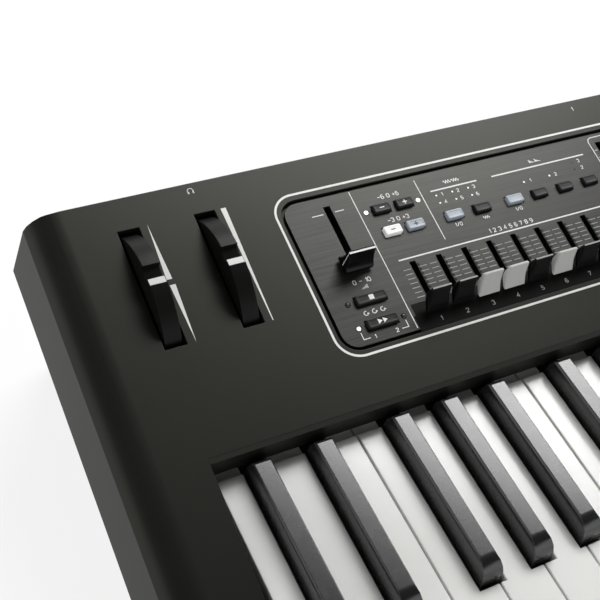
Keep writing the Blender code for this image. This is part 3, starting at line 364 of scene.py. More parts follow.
KEY_WHITE = key_plastic("key_white", (0.84, 0.84, 0.815), (0.22, 0.26), Coat_Weight=0.2, Coat_Roughness=0.1,
                        Subsurface_Weight=0.35, Subsurface_Scale=0.004, Subsurface_Radius=(1.0, 1.0, 0.95))
KEY_BLACK = key_plastic("key_black", (0.012, 0.012, 0.013), (0.26, 0.29), Coat_Weight=0.4,
                        Coat_Roughness=0.18)
print("key finishes:", KEY_WHITE.name, KEY_BLACK.name)

# %% [markdown]
# Small parts: rubbery wheels, glossy black caps, white drawbar paddles, dark and pale buttons, print in
# three tones, of which the grey also stands for shade on some numbers, black paint that is painted shadow, a
# pale strip that is a painted highlight, and lamps that are on or off. A lit button is one moulding with a
# lamp behind it, so its whole cap glows; the other pale caps glow faintly as painted light, with no lamp
# behind.

# %% Controls, print and lamps
def moulded(name, colour, rough, size=0.002, depth=0.000004, **sockets):
    finish = new_finish(name, colour, rough[0], **sockets)
    soft = grain(finish, size)
    vary(finish, soft, "Roughness", *rough)
    emboss(finish, soft, depth)
    return finish


def glowing(name, colour, strength):
    finish = new_finish(name, colour, 0.3)
    shader = finish.node_tree.nodes["Principled BSDF"]
    shader.inputs["Emission Color"].default_value = (*colour, 1.0)
    shader.inputs["Emission Strength"].default_value = strength
    vary(finish, grain(finish, 0.001), "Roughness", 0.25, 0.35)
    return finish


WHEEL_RUBBER = moulded("wheel_rubber", (0.007, 0.007, 0.0066), (0.34, 0.44), size=0.0006, depth=0.000006,
                       Specular_IOR_Level=0.11)
FOOT_RUBBER = moulded("foot_rubber", (0.018, 0.018, 0.018), (0.75, 0.90), depth=0.00004)
CAP_BLACK = moulded("cap_black", (0.004, 0.004, 0.004), (0.17, 0.22), depth=0.000001,
                   Specular_IOR_Level=0.16)
PADDLE_WHITE = moulded("paddle_white", (0.61, 0.61, 0.59), (0.28, 0.36), depth=0.0000015)
BUTTON_DARK = moulded("button_dark", (0.014, 0.014, 0.013), (0.34, 0.42), depth=0.0000015,
                      Specular_IOR_Level=0.22)
# Painted light: a faint glow on pale caps that have no lamp behind them.
BUTTON_PALE_PAINTED_GLOW = glowing("button_pale", (0.33, 0.37, 0.42), 0.07)
BUTTON_LIT = glowing("button_lit", (0.76, 0.76, 0.76), 0.25)
PRINT_WHITE = moulded("print_white", (0.84, 0.84, 0.82), (0.45, 0.60))
# Painted highlight: a pale strip along the lips of the dark drawbar knobs, where they catch the light.
LIP_PAINTED_HIGHLIGHT = moulded("painted_lip_highlight", (0.34, 0.34, 0.33), (0.30, 0.40))
# Painted shadow: black paint where the drawbar knobs shade the plate, and in the notches by their slots.
PAINTED_SHADOW_BLACK = moulded("painted_shadow_black", (0.004, 0.004, 0.0035), (0.42, 0.50), depth=0.000001,
                      Specular_IOR_Level=0.08)
# Grey print; on the drawbar numbers it is also painted shade, as they lie in the knobs' shadow.
PRINT_GREY_AND_SHADE = moulded("print_grey_and_shade", (0.42, 0.42, 0.41), (0.45, 0.60))
PRINT_DARK = moulded("print_dark", (0.05, 0.05, 0.055), (0.45, 0.60))
LAMP_ON = glowing("lamp_on", (1.0, 0.97, 0.88), 1.0)
LAMP_OFF = moulded("lamp_off", (0.02, 0.02, 0.018), (0.10, 0.20), Coat_Weight=0.5)
BOARD_GREEN = moulded("board_green", (0.012, 0.05, 0.025), (0.35, 0.55), size=0.003)
GLASS_DARK = moulded("glass_dark", (0.006, 0.007, 0.009), (0.13, 0.17), size=0.02, depth=0.000001,
                     Specular_IOR_Level=0.25)
print("finishes:", len(bpy.data.materials))

# %% [markdown]
# Real mouldings have no perfectly sharp edge: each edge is rounded a little, and that rounding catches a
# thin line of light. The solids are plain, so most get a copy whose flat faces are joined up again and whose
# outward corners are rounded. The normals are then weighted by area, which keeps flat faces flat.

# %% Softening a solid
SAME_POINT = 2e-6
FLAT_WITHIN = math.radians(0.4)
AREA_WEIGHT = 80


def whole_faces(name):
    """The solid's shape with its flat faces in one piece."""
    shape = bmesh.new()
    shape.from_mesh(SOLIDS[name].data)
    bmesh.ops.remove_doubles(shape, verts=shape.verts, dist=SAME_POINT)
    bmesh.ops.dissolve_limit(shape, angle_limit=FLAT_WITHIN, verts=shape.verts, edges=shape.edges)
    bmesh.ops.recalc_face_normals(shape, faces=shape.faces)
    return shape


def outward_corners(shape, rule=None, angle=30):
    """Convex edges sharper than angle degrees. A rule picks some by their middle, in the sloping frame."""
    found = []
    for edge in shape.edges:
        if len(edge.link_faces) == 2 and edge.calc_face_angle_signed(0) > math.radians(angle):
            middle = TO_SLAB @ ((edge.verts[0].co + edge.verts[1].co) / 2)
            if rule is None or rule(middle):
                found.append(edge)
    return found


def round_off(shape, edges, width, steps=2):
    bmesh.ops.bevel(shape, geom=edges, offset=width, segments=steps, profile=0.5, affect="EDGES",
                    clamp_overlap=True)


def finish_piece(name, shape, finish, body="case", place=ROOM, crease=35):
    """Turns a shape into a smooth-shaded piece that rides on a body."""
    for face in shape.faces:
        face.smooth = True
    for edge in shape.edges:
        sharp = len(edge.link_faces) != 2 or edge.calc_face_angle(0) > math.radians(crease)
        edge.smooth = not sharp
    mesh = bpy.data.meshes.new(name)
    shape.to_mesh(mesh)
    shape.free()
    mesh.materials.append(finish)
    piece = bpy.data.objects.new(name, mesh)
    bpy.context.scene.collection.objects.link(piece)
    piece.matrix_world = place
    bpy.context.view_layer.update()
    normals = piece.modifiers.new("flat_faces", "WEIGHTED_NORMAL")
    normals.keep_sharp = True
    normals.weight = AREA_WEIGHT
    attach(piece, body)
    return piece


BODY_OF = {node: body for body, nodes in frame["record"]["behaviour"]["bodies"].items() for node in nodes}
SLOT_OF = {part["node"]: part["material_slot"] for part in frame["record"]["subparts"]}


def soften(name, finish, width, steps=2):
    """A rounded copy of a solid, which stands for it."""
    shape = whole_faces(name)
    round_off(shape, outward_corners(shape), width, steps)
    piece = finish_piece(name + "_soft", shape, finish, BODY_OF[name])
    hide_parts(name)


print("bodies:", len(set(BODY_OF.values())))

# %% [markdown]
# The top of the case has three kinds of edge. Its outline is rounded by a millimetre. The key opening and
# the wheel slots are crisper. The recess round the control plate is crisper still, and shows as a thin
# bright line.

# %% Top of the case
SKIN = 0.0006
KEY_SKIN = 0.0020
CASE_FRONT = -0.155
CASE_REAR = 0.125
KEYS_END = 0.020
WHEELS_START = 0.030
PLATE_LEFT = -0.36


def on_outline(p):
    return p.z > -SKIN and (p.y > CASE_REAR or p.y < CASE_FRONT)


def on_openings(p):
    at_keys = p.z > -KEY_SKIN and CASE_FRONT < p.y < KEYS_END
    at_wheels = p.z > -SKIN and p.x < PLATE_LEFT and WHEELS_START < p.y < CASE_REAR
    return at_keys or at_wheels


def on_recess(p):
    return p.z > -SKIN and p.x > PLATE_LEFT and KEYS_END < p.y < CASE_REAR


case_shape = whole_faces("top_case")
for rule, width in ((on_outline, 0.0010), (on_openings, 0.0005), (on_recess, 0.00035)):
    edges = outward_corners(case_shape, rule)
    round_off(case_shape, edges, width, 3)
    print(rule.__name__, len(edges))
top_case = finish_piece("top_case_soft", case_shape, CASE_BLACK, crease=19)
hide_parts("top_case")
print("top case faces:", len(top_case.data.polygons))

# %% [markdown]
# The rest of the body keeps its solids, or gets small roundings where light could catch an edge. The walls
# at both sides of the tray lean inwards towards the floor, so that it leaves its mould, and their lower
# edges are well rounded, so that nobody is scratched when carrying it.

# %% Body pieces
FOOT_HEIGHT = 0.006
TRAY_TOP = 0.079
TRAY_DRAFT = 0.0045
TRAY_ROUNDING = 0.0085
OUTER_WALL = 0.455
SIDE_EDGE_X = 0.44
SIDE_EDGE_Z = 0.0075


def on_tray_side(p):
    """The lower edges of the side walls. Their height is told in the room's frame."""
    return abs(p.x) > SIDE_EDGE_X and (SLAB @ p).z < SIDE_EDGE_Z


tray_shape = whole_faces("bottom_case")
for vert in tray_shape.verts:
    if abs(vert.co.x) > OUTER_WALL:
        share = (TRAY_TOP - vert.co.z) / (TRAY_TOP - FOOT_HEIGHT)
        vert.co.x -= math.copysign(TRAY_DRAFT * share, vert.co.x)
round_off(tray_shape, outward_corners(tray_shape, on_tray_side), TRAY_ROUNDING, 5)
round_off(tray_shape, outward_corners(tray_shape, angle=60), 0.0005)
tray = finish_piece("bottom_case_soft", tray_shape, TRAY_BLACK)
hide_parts("bottom_case")
soften("jack_plate", JACK_BLACK, 0.0004)
for corner in ("front_left", "front_right", "rear_left", "rear_right"):
    soften("foot_" + corner, FOOT_RUBBER, 0.0010, 3)
soften("control_panel", PLATE_METAL, 0.00018, 1)
soften("display_window", GLASS_DARK, 0.0002)
UNCHANGED = {"control_board": BOARD_GREEN, "key_chassis": BED_METAL, "wheel_bracket": BRACKET_METAL}
for name, finish in UNCHANGED.items():
    SOLIDS[name].data.materials.clear()
    SOLIDS[name].data.materials.append(finish)
print("body pieces done")

# %% [markdown]
# Every key is rounded by half a millimetre, as a moulded key is.

# %% Keys on their levers
KEY_ROUNDING = 0.0005
KEY_FINISH = {"key_white": KEY_WHITE, "key_black": KEY_BLACK}
keys = [name for name in SOLIDS if SLOT_OF[name] in KEY_FINISH]
for name in keys:
    soften(name, KEY_FINISH[SLOT_OF[name]], KEY_ROUNDING, 3)
print("key pieces:", len(keys))

# %% [markdown]
# The controls are built on the slope. A solid's own corners there tell where its piece goes. Moulded caps
# are lofts: rings of points, one above the other, joined by faces and closed at both ends. A ring is a
# circle or a rectangle with round corners, and each may differ a little from the one below.

# %% Rings and lofts
def lying(name):
    """Lowest and highest corner of a solid, in the sloping frame."""
    points = [TO_SLAB @ vertex.co for vertex in SOLIDS[name].data.vertices]
    return [Vector([pick(point[axis] for point in points) for axis in range(3)]) for pick in (min, max)]


def about(middle, half):
    """Two limits, half to either side of a middle."""
    return (middle - half, middle + half)


def rounded(x, u, front, rear=None, steps=4):
    """Points of a rectangle with round corners: x and u are pairs of limits, front and rear are radii."""
    rear = front if rear is None else rear
    points = []
    for x_corner, u_corner, radius, start in ((x[0], u[0], front, 180), (x[1], u[0], front, 270),
                                              (x[1], u[1], rear, 0), (x[0], u[1], rear, 90)):
        centre_x = x_corner + (radius if x_corner == x[0] else -radius)
        centre_u = u_corner + (radius if u_corner == u[0] else -radius)
        for step in range(steps + 1):
            angle = math.radians(start + 90 * step / steps)
            points.append((centre_x + radius * math.cos(angle), centre_u + radius * math.sin(angle)))
    return points


def join_rows(shape, rows, closed=False):
    """Faces between rows of points that run round a form, capped at both ends unless closed."""
    rows = [[shape.verts.new(point) for point in row] for row in rows]
    count = len(rows[0])
    if closed:
        rows.append(rows[0])
    else:
        shape.faces.new(rows[0][::-1])
        shape.faces.new(rows[-1])
    for low, high in zip(rows, rows[1:]):
        for i in range(count):
            j = (i + 1) % count
            shape.faces.new((low[i], low[j], high[j], high[i]))


def loft(shape, rings):
    """Rings are pairs: a list of (x, u) points, and their height."""
    join_rows(shape, [[(x, u, w) for x, u in points] for points, w in rings])


def circle(x, u, radius, steps=16):
    return [(x + radius * math.cos(math.tau * i / steps), u + radius * math.sin(math.tau * i / steps))
            for i in range(steps)]


def on_slope(name, shape, finish, body="case", crease=35):
    bmesh.ops.recalc_face_normals(shape, faces=shape.faces)
    return finish_piece(name, shape, finish, body, SLAB, crease)


print("slab corner of the plate:", [round(v, 4) for v in lying("control_panel")[0]])

# %% [markdown]
# Prints are paint, a few hundredths of a millimetre thick. A line of print is a flat strip with mitred
# corners, and a patch is an outline filled with paint.

# %% Paint
PAINT = 0.00004
CASE_TOP = 0.0
SHARPEST_MITRE = 0.4


def ribbon(shape, points, width, level=PLATE_TOP, closed=False):
    """A strip of even width along (x, u) points."""
    points = [Vector(point) for point in points]
    count = len(points)
    rows = []
    for i, here in enumerate(points):
        after = points[(i + 1) % count] - here if closed or i < count - 1 else None
        before = here - points[i - 1] if closed or i else after
        after = before if after is None else after
        before, after = before.normalized(), after.normalized()
        across = Vector((-before.y - after.y, before.x + after.x)).normalized()
        mitre = max(SHARPEST_MITRE, across.dot(Vector((-before.y, before.x))))
        one, two = here + across * (width / 2 / mitre), here - across * (width / 2 / mitre)
        rows.append([(*one, level + PAINT), (*two, level + PAINT), (*two, level), (*one, level)])
    join_rows(shape, rows, closed)


def patch(shape, points, level=PLATE_TOP):
    """An outline of (x, u) points, filled."""
    loft(shape, [(points, level), (points, level + PAINT)])


def rectangle(x, u):
    return [(x[0], u[0]), (x[1], u[0]), (x[1], u[1]), (x[0], u[1])]


print("paint:", round(PAINT * 1000, 2), "mm")

# %% [markdown]
# Numbers and plain signs are drawn with such strips too. Each is a list of lines on a grid that is six high
# and, for a number, four wide.

# %% Numbers and signs
GLYPH_HEIGHT = 6
GLYPH_WIDTH = 4.0
GLYPH_GAP = 1.6
BLANK_WIDTH = 2.0
GLYPHS = {
    "0": [[(1, 0), (0, 1), (0, 5), (1, 6), (3, 6), (4, 5), (4, 1), (3, 0), (1, 0)]],
    "1": [[(1, 4.8), (2.4, 6), (2.4, 0)]],
    "2": [[(0, 4.8), (0.9, 6), (3.1, 6), (4, 5), (4, 4), (0, 0), (4, 0)]],
    "3": [[(0, 5.2), (1, 6), (3, 6), (4, 5), (4, 4), (3, 3.2), (4, 2.3), (4, 1), (3, 0), (1, 0), (0, 0.8)]],
    "4": [[(3, 0), (3, 6), (0, 2), (4, 2)]],
    "5": [[(3.8, 6), (0.6, 6), (0.3, 3.2), (3, 3.7), (4, 2.8), (4, 1), (3, 0), (1, 0), (0, 0.7)]],
    "6": [[(3.6, 5.6), (2.6, 6), (1.2, 6), (0, 4.6), (0, 1), (1, 0), (3, 0), (4, 1), (4, 2.4), (3, 3.4),
           (1, 3.4), (0, 2.4)]],
    "7": [[(0, 6), (4, 6), (1.4, 0)]],
    "8": [[(1, 3.2), (0, 4.2), (0, 5.2), (1, 6), (3, 6), (4, 5.2), (4, 4.2), (3, 3.2), (4, 2.2), (4, 1),
           (3, 0), (1, 0), (0, 1), (0, 2.2), (1, 3.2), (3, 3.2)]],
    "9": [[(0.4, 0.4), (1.4, 0), (2.8, 0), (4, 1.4), (4, 5), (3, 6), (1, 6), (0, 5), (0, 3.6), (1, 2.6),
           (3, 2.6), (4, 3.6)]],
    "/": [[(0.5, 0), (3.5, 6)]],
    " ": [],
    "+": [[(0, 3), (4, 3)], [(2, 1), (2, 5)]],
    "-": [[(0, 3), (4, 3)]],
    "wave": [[(x / 2, 3 + 2.2 * math.sin(x * math.pi / 4)) for x in range(25)]],
    "fading": [[(x, 0.4), (x, 0.4 + 5.6 * 0.72 ** (x / 1.5))] for x in (0, 1.5, 3, 4.5, 6, 7.5, 9)],
    "rising": [[(x, 0.2), (x, 1.0 + x * 0.56)] for x in (0, 1.8, 3.6, 5.4, 7.2, 9)],
    "turning": [[(3 + 3 * math.cos(math.radians(a)), 3 + 3 * math.sin(math.radians(a)))
                 for a in range(60, 361, 20)], [(4.4, 1.6), (6, 3), (7.4, 1.4)]],
    "ears": [[(0, 1.5), (0, 3.4), (0.8, 5.2), (2.2, 6), (3.8, 6), (5.2, 5.2), (6, 3.4), (6, 1.5)],
             [(0.1, 0), (0.1, 2.6)], [(0.9, 0), (0.9, 2.6)], [(5.1, 0), (5.1, 2.6)], [(5.9, 0), (5.9, 2.6)]],
}


def mark(shape, words, x, u, height, level=PLATE_TOP, weight=0.19):
    """Numbers and signs in a row, centred on x, standing on u. A word in the list may be a sign's name."""
    unit = height / GLYPH_HEIGHT
    spans = []
    for word in words:
        reach = max([point[0] for line in GLYPHS[word] for point in line], default=BLANK_WIDTH)
        spans.append(reach if word in "1 " else max(GLYPH_WIDTH, reach))
    left = x - unit * (sum(spans) + GLYPH_GAP * (len(spans) - 1)) / 2
    for word, span in zip(words, spans):
        for line in GLYPHS[word]:
            ribbon(shape, [(left + a * unit, u + b * unit) for a, b in line], height * weight, level)
        left += unit * (span + GLYPH_GAP)


print("glyphs:", len(GLYPHS))

# %% [markdown]
# Each colour on the plate is one piece of paint. White and grey are print, each screened on in one pass.
# Black is painted shadow, for the shade that the drawbar knobs cast: a strip in front of the drawbars, which
# stops at the slots' edges, and teeth beside each slot, which are painted shade in notches of the slot's
# edge. The grey ticks and numbers follow; the numbers are grey rather than white as painted shade, for
# they lie in the knobs' shadow.

# %% Scales of the drawbars
LABEL = 0.0022
SMALL = 0.0019
FIRST_SLOT = -0.2916
SLOT_PITCH = 0.0154
SLOT_X = [FIRST_SLOT + bar * SLOT_PITCH for bar in range(9)]
SLOT_FRONT = 0.0377
SLOT_SIDE = 0.0019
STRIP_FRONT = 0.0287
STRIP_REAR = 0.0440
STRIP_LEFT = -0.3050
STRIP_RIGHT = -0.1580
FIRST_GAP = -0.3040
TICK_ROWS = (0.0625, 0.0598, 0.0572, 0.0546, 0.0520, 0.0493, 0.0466)
TICK_X = (0.0026, 0.0069)
TICK_WIDTH = 0.00036
TOOTH_SHIFT = 0.0013
TOOTH_TIP = 0.0030
NUMBER_U = 0.0317

paint, fine_and_shaded_paint, painted_shadow = bmesh.new(), bmesh.new(), bmesh.new()
# Painted shadow in black: the strip in front of the drawbars and the gaps between them, where the knobs cast
# shade.
patch(painted_shadow, rectangle((STRIP_LEFT, STRIP_RIGHT), (STRIP_FRONT, SLOT_FRONT)))
gap_starts = [FIRST_GAP] + [x + SLOT_SIDE for x in SLOT_X]
gap_ends = [x - SLOT_SIDE for x in SLOT_X] + [STRIP_RIGHT]
for gap in zip(gap_starts, gap_ends):
    patch(painted_shadow, rectangle(gap, (SLOT_FRONT, STRIP_REAR)))
for bar, x in enumerate(SLOT_X):
    for row in TICK_ROWS:
        for side in (-1, 1):
            ribbon(fine_and_shaded_paint, [(x + side * TICK_X[0], row), (x + side * TICK_X[1], row)], TICK_WIDTH)
        u = row + TOOTH_SHIFT
        # Painted shade: a dark tooth where the slot's edge has a notch.
        patch(painted_shadow, [(x + SLOT_SIDE, u - 0.0007), (x + TOOTH_TIP, u - 0.0005),
                           (x + TOOTH_TIP, u + 0.0005), (x + SLOT_SIDE, u + 0.0007)])
    # Painted shade: the drawbar numbers are grey, not white, because they lie in the knobs' shadow.
    mark(fine_and_shaded_paint, str(bar + 1), x, NUMBER_U, LABEL, PLATE_TOP + PAINT)
print("slots with a scale:", len(SLOT_X))

# %% [markdown]
# White is printed last: lines between the sections of the plate, numbers, plain signs over the groups, and
# the marks round the level fader and the dial.

# %% White print on the plate
PLATE_LINES = (
    (0.00048, (-0.3060, 0.0314), (-0.3060, 0.1131)),
    (0.0005, (-0.2680, 0.0734), (-0.2680, 0.1110)),
    (0.0008, (-0.2983, 0.0685), (-0.1580, 0.0685)),
    (0.0008, (-0.2620, 0.1023), (-0.2330, 0.1023)),
    (0.0008, (-0.2232, 0.1024), (-0.1605, 0.1024)),
    (0.0005, (-0.3310, 0.1039), (-0.3247, 0.1039)),
    (0.0005, (-0.3180, 0.1039), (-0.3130, 0.1039)),
    (0.0004, (-0.3349, 0.0372), (-0.3349, 0.0335), (-0.3312, 0.0335)),
    (0.0004, (-0.3100, 0.0372), (-0.3100, 0.0335), (-0.3137, 0.0335)),
)
LEVEL_X = -0.1469
LEVEL_TICKS = [0.0730 + step * 0.005 for step in range(7)]
LEVEL_FRAME = ((-0.1412, 0.1117), (-0.1500, 0.1117), (-0.1518, 0.1108), (-0.1526, 0.1090), (-0.1526, 0.0646),
               (-0.1518, 0.0628), (-0.1500, 0.0620), (-0.1412, 0.0620), (-0.1394, 0.0628), (-0.1386, 0.0646),
               (-0.1386, 0.1090), (-0.1394, 0.1108))
PLATE_MARKS = (
    ("-6 0 +6", -0.2862, 0.1050, LABEL),
    ("-3 0 +3", -0.2870, 0.0906, LABEL),
    (["turning", " ", "turning", " ", "turning"], -0.3228, 0.0451, LABEL),
    ("0 - 10", -0.3220, 0.0622, LABEL),
    (["rising"], -0.3220, 0.0588, LABEL),
    ("1", -0.3286, 0.0325, SMALL),
    ("2", -0.3164, 0.0325, SMALL),
    (["wave", "wave"], -0.2475, 0.1048, LABEL),
    (["fading", "fading"], -0.1925, 0.1048, LABEL),
    ("1 2 3 4 5 6 7 8 9", -0.2280, 0.0702, LABEL),
    ("1/0", -0.2563, 0.0788, SMALL),
    ("1/0", -0.2179, 0.0788, SMALL),
    (["wave"], -0.2389, 0.0788, SMALL),
    ("1", -0.2018, 0.0936, SMALL),
    ("2", -0.1845, 0.0937, SMALL),
    ("3", -0.1660, 0.0984, SMALL),
    ("2", -0.1660, 0.0938, SMALL),
    (["rising"], LEVEL_X, 0.0640, SMALL),
)
VIBRATO_X = (-0.2565, -0.2465, -0.2365)
PRESET_PITCH = 0.0235
PRESET_X = [0.0650 + index * PRESET_PITCH for index in range(4)]
DIAL_CENTRE = Vector((0.1740, 0.0905))
DIAL_TICK = (0.0150, 0.0168)

for width, *line in PLATE_LINES:
    ribbon(paint, line, width)
for words, x, u, size in PLATE_MARKS:
    mark(paint, words, x, u, size)
for index, x in enumerate(VIBRATO_X):
    mark(paint, str(index + 1), x, 0.0983, SMALL)
    mark(paint, str(index + 4), x, 0.0935, SMALL)
ribbon(paint, LEVEL_FRAME, 0.0005, closed=True)
for u in LEVEL_TICKS:
    for side in (-1, 1):
        ribbon(paint, [(LEVEL_X + side * 0.0028, u), (LEVEL_X + side * 0.0046, u)], 0.0003)
for index, x in enumerate(PRESET_X):
    mark(paint, str(index + 1), x, 0.0460, LABEL)
for step in range(11):
    angle = math.radians(-130 + step * 26)
    outwards = Vector((math.sin(angle), math.cos(angle)))
    ribbon(paint, [DIAL_CENTRE + outwards * radius for radius in DIAL_TICK], 0.0004)
on_slope("plate_print", paint, PRINT_WHITE)
on_slope("plate_fine_print_and_shade", fine_and_shaded_paint, PRINT_GREY_AND_SHADE)
on_slope("plate_painted_shadow", painted_shadow, PAINTED_SHADOW_BLACK)
print("print on the plate done")

# %% [markdown]
# On the case itself, a white line runs all round the plate, and long thin wedges beside each wheel show how
# far it is turned. The sign for phones and plain numbers stand where the sockets are at the rear.

# %% Printing on the case
INLAY_X = (-0.3491, 0.4253)
INLAY_U = (0.0257, 0.1189)
INLAY_CORNER = 0.012
INLAY_WIDTH = 0.0012
JACK_PITCH = 0.029
WEDGES = (
    ((-0.4115, 0.1206), (-0.4132, 0.0897), (-0.4104, 0.0897)),
    ((-0.4128, 0.0866), (-0.4115, 0.0558), (-0.4100, 0.0866)),
    ((-0.3741, 0.1203), (-0.3733, 0.0559), (-0.3729, 0.0559), (-0.3714, 0.1203)),
)

case_paint = bmesh.new()
inlay = rounded(INLAY_X, INLAY_U, INLAY_CORNER, steps=12)
ribbon(case_paint, inlay, INLAY_WIDTH, CASE_TOP, closed=True)
for wedge in WEDGES:
    patch(case_paint, wedge, CASE_TOP)
mark(case_paint, ["ears"], -0.3847, 0.1322, 0.0030, CASE_TOP, 0.1)
for index in range(3):
    mark(case_paint, str(index + 1), -0.1500 + index * JACK_PITCH, 0.1313, 0.0024, CASE_TOP)
on_slope("case_print", case_paint, PRINT_WHITE, crease=60)
print("print on the case done")

# %% [markdown]
# Each lamp is a small dome in the plate. The large ones sit in a hole, and a dark ring round each is
# painted shade for that hole. Some are lit. The choices of the vibrato, and of the percussion, have the
# small ones.

# %% Lamps
LARGE_RISE = 0.0008
SMALL_RISE = 0.0003
HOLE_SHADE_WIDTH = 0.0004


def dome(shape, x, u, radius, rise):
    rings = [(circle(x, u, radius), PLATE_TOP)]
    for share in (0.15, 0.45, 0.75, 0.95):
        lean = math.asin(share)
        rings.append((circle(x, u, radius * math.cos(lean)), PLATE_TOP + rise * share))
    loft(shape, rings)


lit, unlit, hole_shades = bmesh.new(), bmesh.new(), bmesh.new()
LARGE_LAMPS = ((-0.3024, 0.0991, 0.00125, lit), (-0.2714, 0.0991, 0.00125, lit),
               (-0.3349, 0.0395, 0.0011, lit), (-0.3100, 0.0394, 0.0011, unlit),
               (-0.3346, 0.0529, 0.0011, unlit))
for x, u, radius, shape in LARGE_LAMPS:
    dome(shape, x, u, radius, LARGE_RISE)
    # Painted shade: a dark ring for the hole that the lamp sits in.
    patch(hole_shades, circle(x, u, radius + HOLE_SHADE_WIDTH))
for x in (-0.2600, -0.2500, -0.2400):
    for u in (0.0992, 0.0944):
        dome(lit, x, u, 0.00045, SMALL_RISE)
for x, u, shape in ((-0.2061, 0.0944, lit), (-0.1888, 0.0945, lit), (-0.1703, 0.0992, unlit),
                    (-0.1710, 0.0947, unlit)):
    dome(shape, x, u, 0.0005, SMALL_RISE)
on_slope("lamp_hole_shade", hole_shades, CAP_BLACK)
on_slope("lamps_lit", lit, LAMP_ON)
on_slope("lamps_unlit", unlit, LAMP_OFF)
print("lamps done")

# %% [markdown]
# The two wheels are rubber-faced discs. Their rims are rounded, a notch across the rim is where the finger
# rests, and a white stripe in front of it shows from afar where the wheel stands.

# %% Wheels
WHEEL_RADIUS = 0.038
WHEEL_BORE = 0.0030
WHEEL_HALF = 0.0043
WHEEL_EDGE = ((0.0, 0.0005), (0.00015, 0.00015), (0.0005, 0.0))
ARC_STEPS = 80
LIP_U = 0.0051
NOTCH = ((0.0050, 0.0357), (-0.0011, 0.0344), (-0.0018, 0.0369), (-0.0052, 0.03725))
NOTCH_ENDS = -0.00535
STRIPE_HALF = 0.0039
STRIPE_SUNK = -0.00003
STRIPE_PROUD = 0.00005


def wheel_outline():
    """Points (u, w) round the axis. The notch's floor falls forwards, up to the foot of the white stripe."""
    def angle_at(u):
        return math.atan2(u, math.sqrt(WHEEL_RADIUS ** 2 - u ** 2))
    start = angle_at(LIP_U)
    end = math.tau + angle_at(NOTCH_ENDS)
    arc = [start + (end - start) * step / ARC_STEPS for step in range(ARC_STEPS + 1)]
    return [(WHEEL_RADIUS * math.sin(a), WHEEL_RADIUS * math.cos(a)) for a in arc] + list(NOTCH[::-1])


def make_wheel(name):
    low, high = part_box(name)
    axis = TO_SLAB @ Vector([(a + b) / 2 for a, b in zip(low, high)])
    outline = wheel_outline()
    left = [(-WHEEL_HALF + inset, drop) for inset, drop in WHEEL_EDGE]
    right = [(-x, drop) for x, drop in left[::-1]]
    rows = []
    for x, drop in [(-WHEEL_HALF, None)] + left + right + [(WHEEL_HALF, None)]:
        row = []
        for u, w in outline:
            share = WHEEL_BORE / math.hypot(u, w) if drop is None else 1 - drop / WHEEL_RADIUS
            row.append((axis.x + x, axis.y + u * share, axis.z + w * share))
        rows.append(row)
    shape = bmesh.new()
    join_rows(shape, rows, closed=True)
    wheel = on_slope(name + "_soft", shape, WHEEL_RUBBER, BODY_OF[name], 40)
    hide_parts(name)
    stripe = bmesh.new()
    corners = ((-1, STRIPE_SUNK), (1, STRIPE_SUNK), (1, STRIPE_PROUD), (-1, STRIPE_PROUD))
    join_rows(stripe, [[(axis.x + side * STRIPE_HALF, axis.y + u, axis.z + w + lift)
                        for side, lift in corners] for u, w in NOTCH[2:]])
    on_slope(name + "_stripe", stripe, PADDLE_WHITE, BODY_OF[name])
    print(name, "axis at u", round(axis.y, 4), "w", round(axis.z, 4))


for name in ("pitch_wheel", "mod_wheel"):
    make_wheel(name)

# %% [markdown]
# A fader's cap is a wedge with hollow flanks that meet in a narrow ridge, so a finger can push it either
# way. The ridge carries a white line, which goes on down both ends. A stem under the cap passes the slot.

# %% Fader caps
CAP_LEVELS = ((0.0, 0.0047, 1.0), (0.0015, 0.0047, 1.0), (0.0021, 0.0041, 0.995), (0.0032, 0.0033, 0.99),
              (0.0048, 0.0026, 0.98), (0.0066, 0.00205, 0.97), (0.0088, 0.00160, 0.96),
              (0.0108, 0.00125, 0.95), (0.0118, 0.00110, 0.945), (0.0122, 0.00080, 0.93))
CAP_HEIGHT = CAP_LEVELS[-1][0]
STEM_HALF = 0.0012
STEM_CORNER = 0.0003
FADER_STEM_HALF = 0.0025
LINE_FORWARD = 0.0003
LINE_WIDTH = 0.0010
END_LINE = ((-0.0001, -0.00022), (0.00004, -0.00022), (0.00004, 0.00022), (-0.0001, 0.00022))


def make_fader(name):
    low, high = lying(name)
    middle = (low.x + high.x) / 2
    half = (high.x - low.x) / 2
    rest = (low.y + high.y) / 2
    base = high.z - CAP_HEIGHT
    shape = bmesh.new()
    loft(shape, [(rounded(about(middle, half * share), about(rest, reach), 0.0005, steps=3), base + rise)
                 for rise, reach, share in CAP_LEVELS])
    stem = rounded(about(middle, STEM_HALF), about(rest, FADER_STEM_HALF), STEM_CORNER)
    loft(shape, [(stem, low.z), (stem, base + 0.0005)])
    cap = on_slope(name + "_cap", shape, CAP_BLACK, BODY_OF[name], 40)
    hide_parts(name)
    line = bmesh.new()
    u = rest - LINE_FORWARD
    ribbon(line, [(x, u) for x in about(middle, half * 0.92)], LINE_WIDTH, high.z)
    for side in (-1, 1):
        join_rows(line, [[(middle + side * (half * share + out), u + across, base + rise)
                          for out, across in END_LINE] for rise, _, share in CAP_LEVELS[1:-1]])
    on_slope(name + "_line", line, PRINT_WHITE, BODY_OF[name])


for name in ("master_fader", "level_fader"):
    make_fader(name)
print("fader caps done")

# %% [markdown]
# A drawbar's knob leans back from the player and narrows a little towards its tip. Its front is slightly
# hollow, its front corners are well rounded, its rear bulges out above a thin foot, and the tip is a thin
# round lip. On the dark knobs a paler strip along the lip is a painted highlight, for the bright line of
# light that the glossy lip catches.

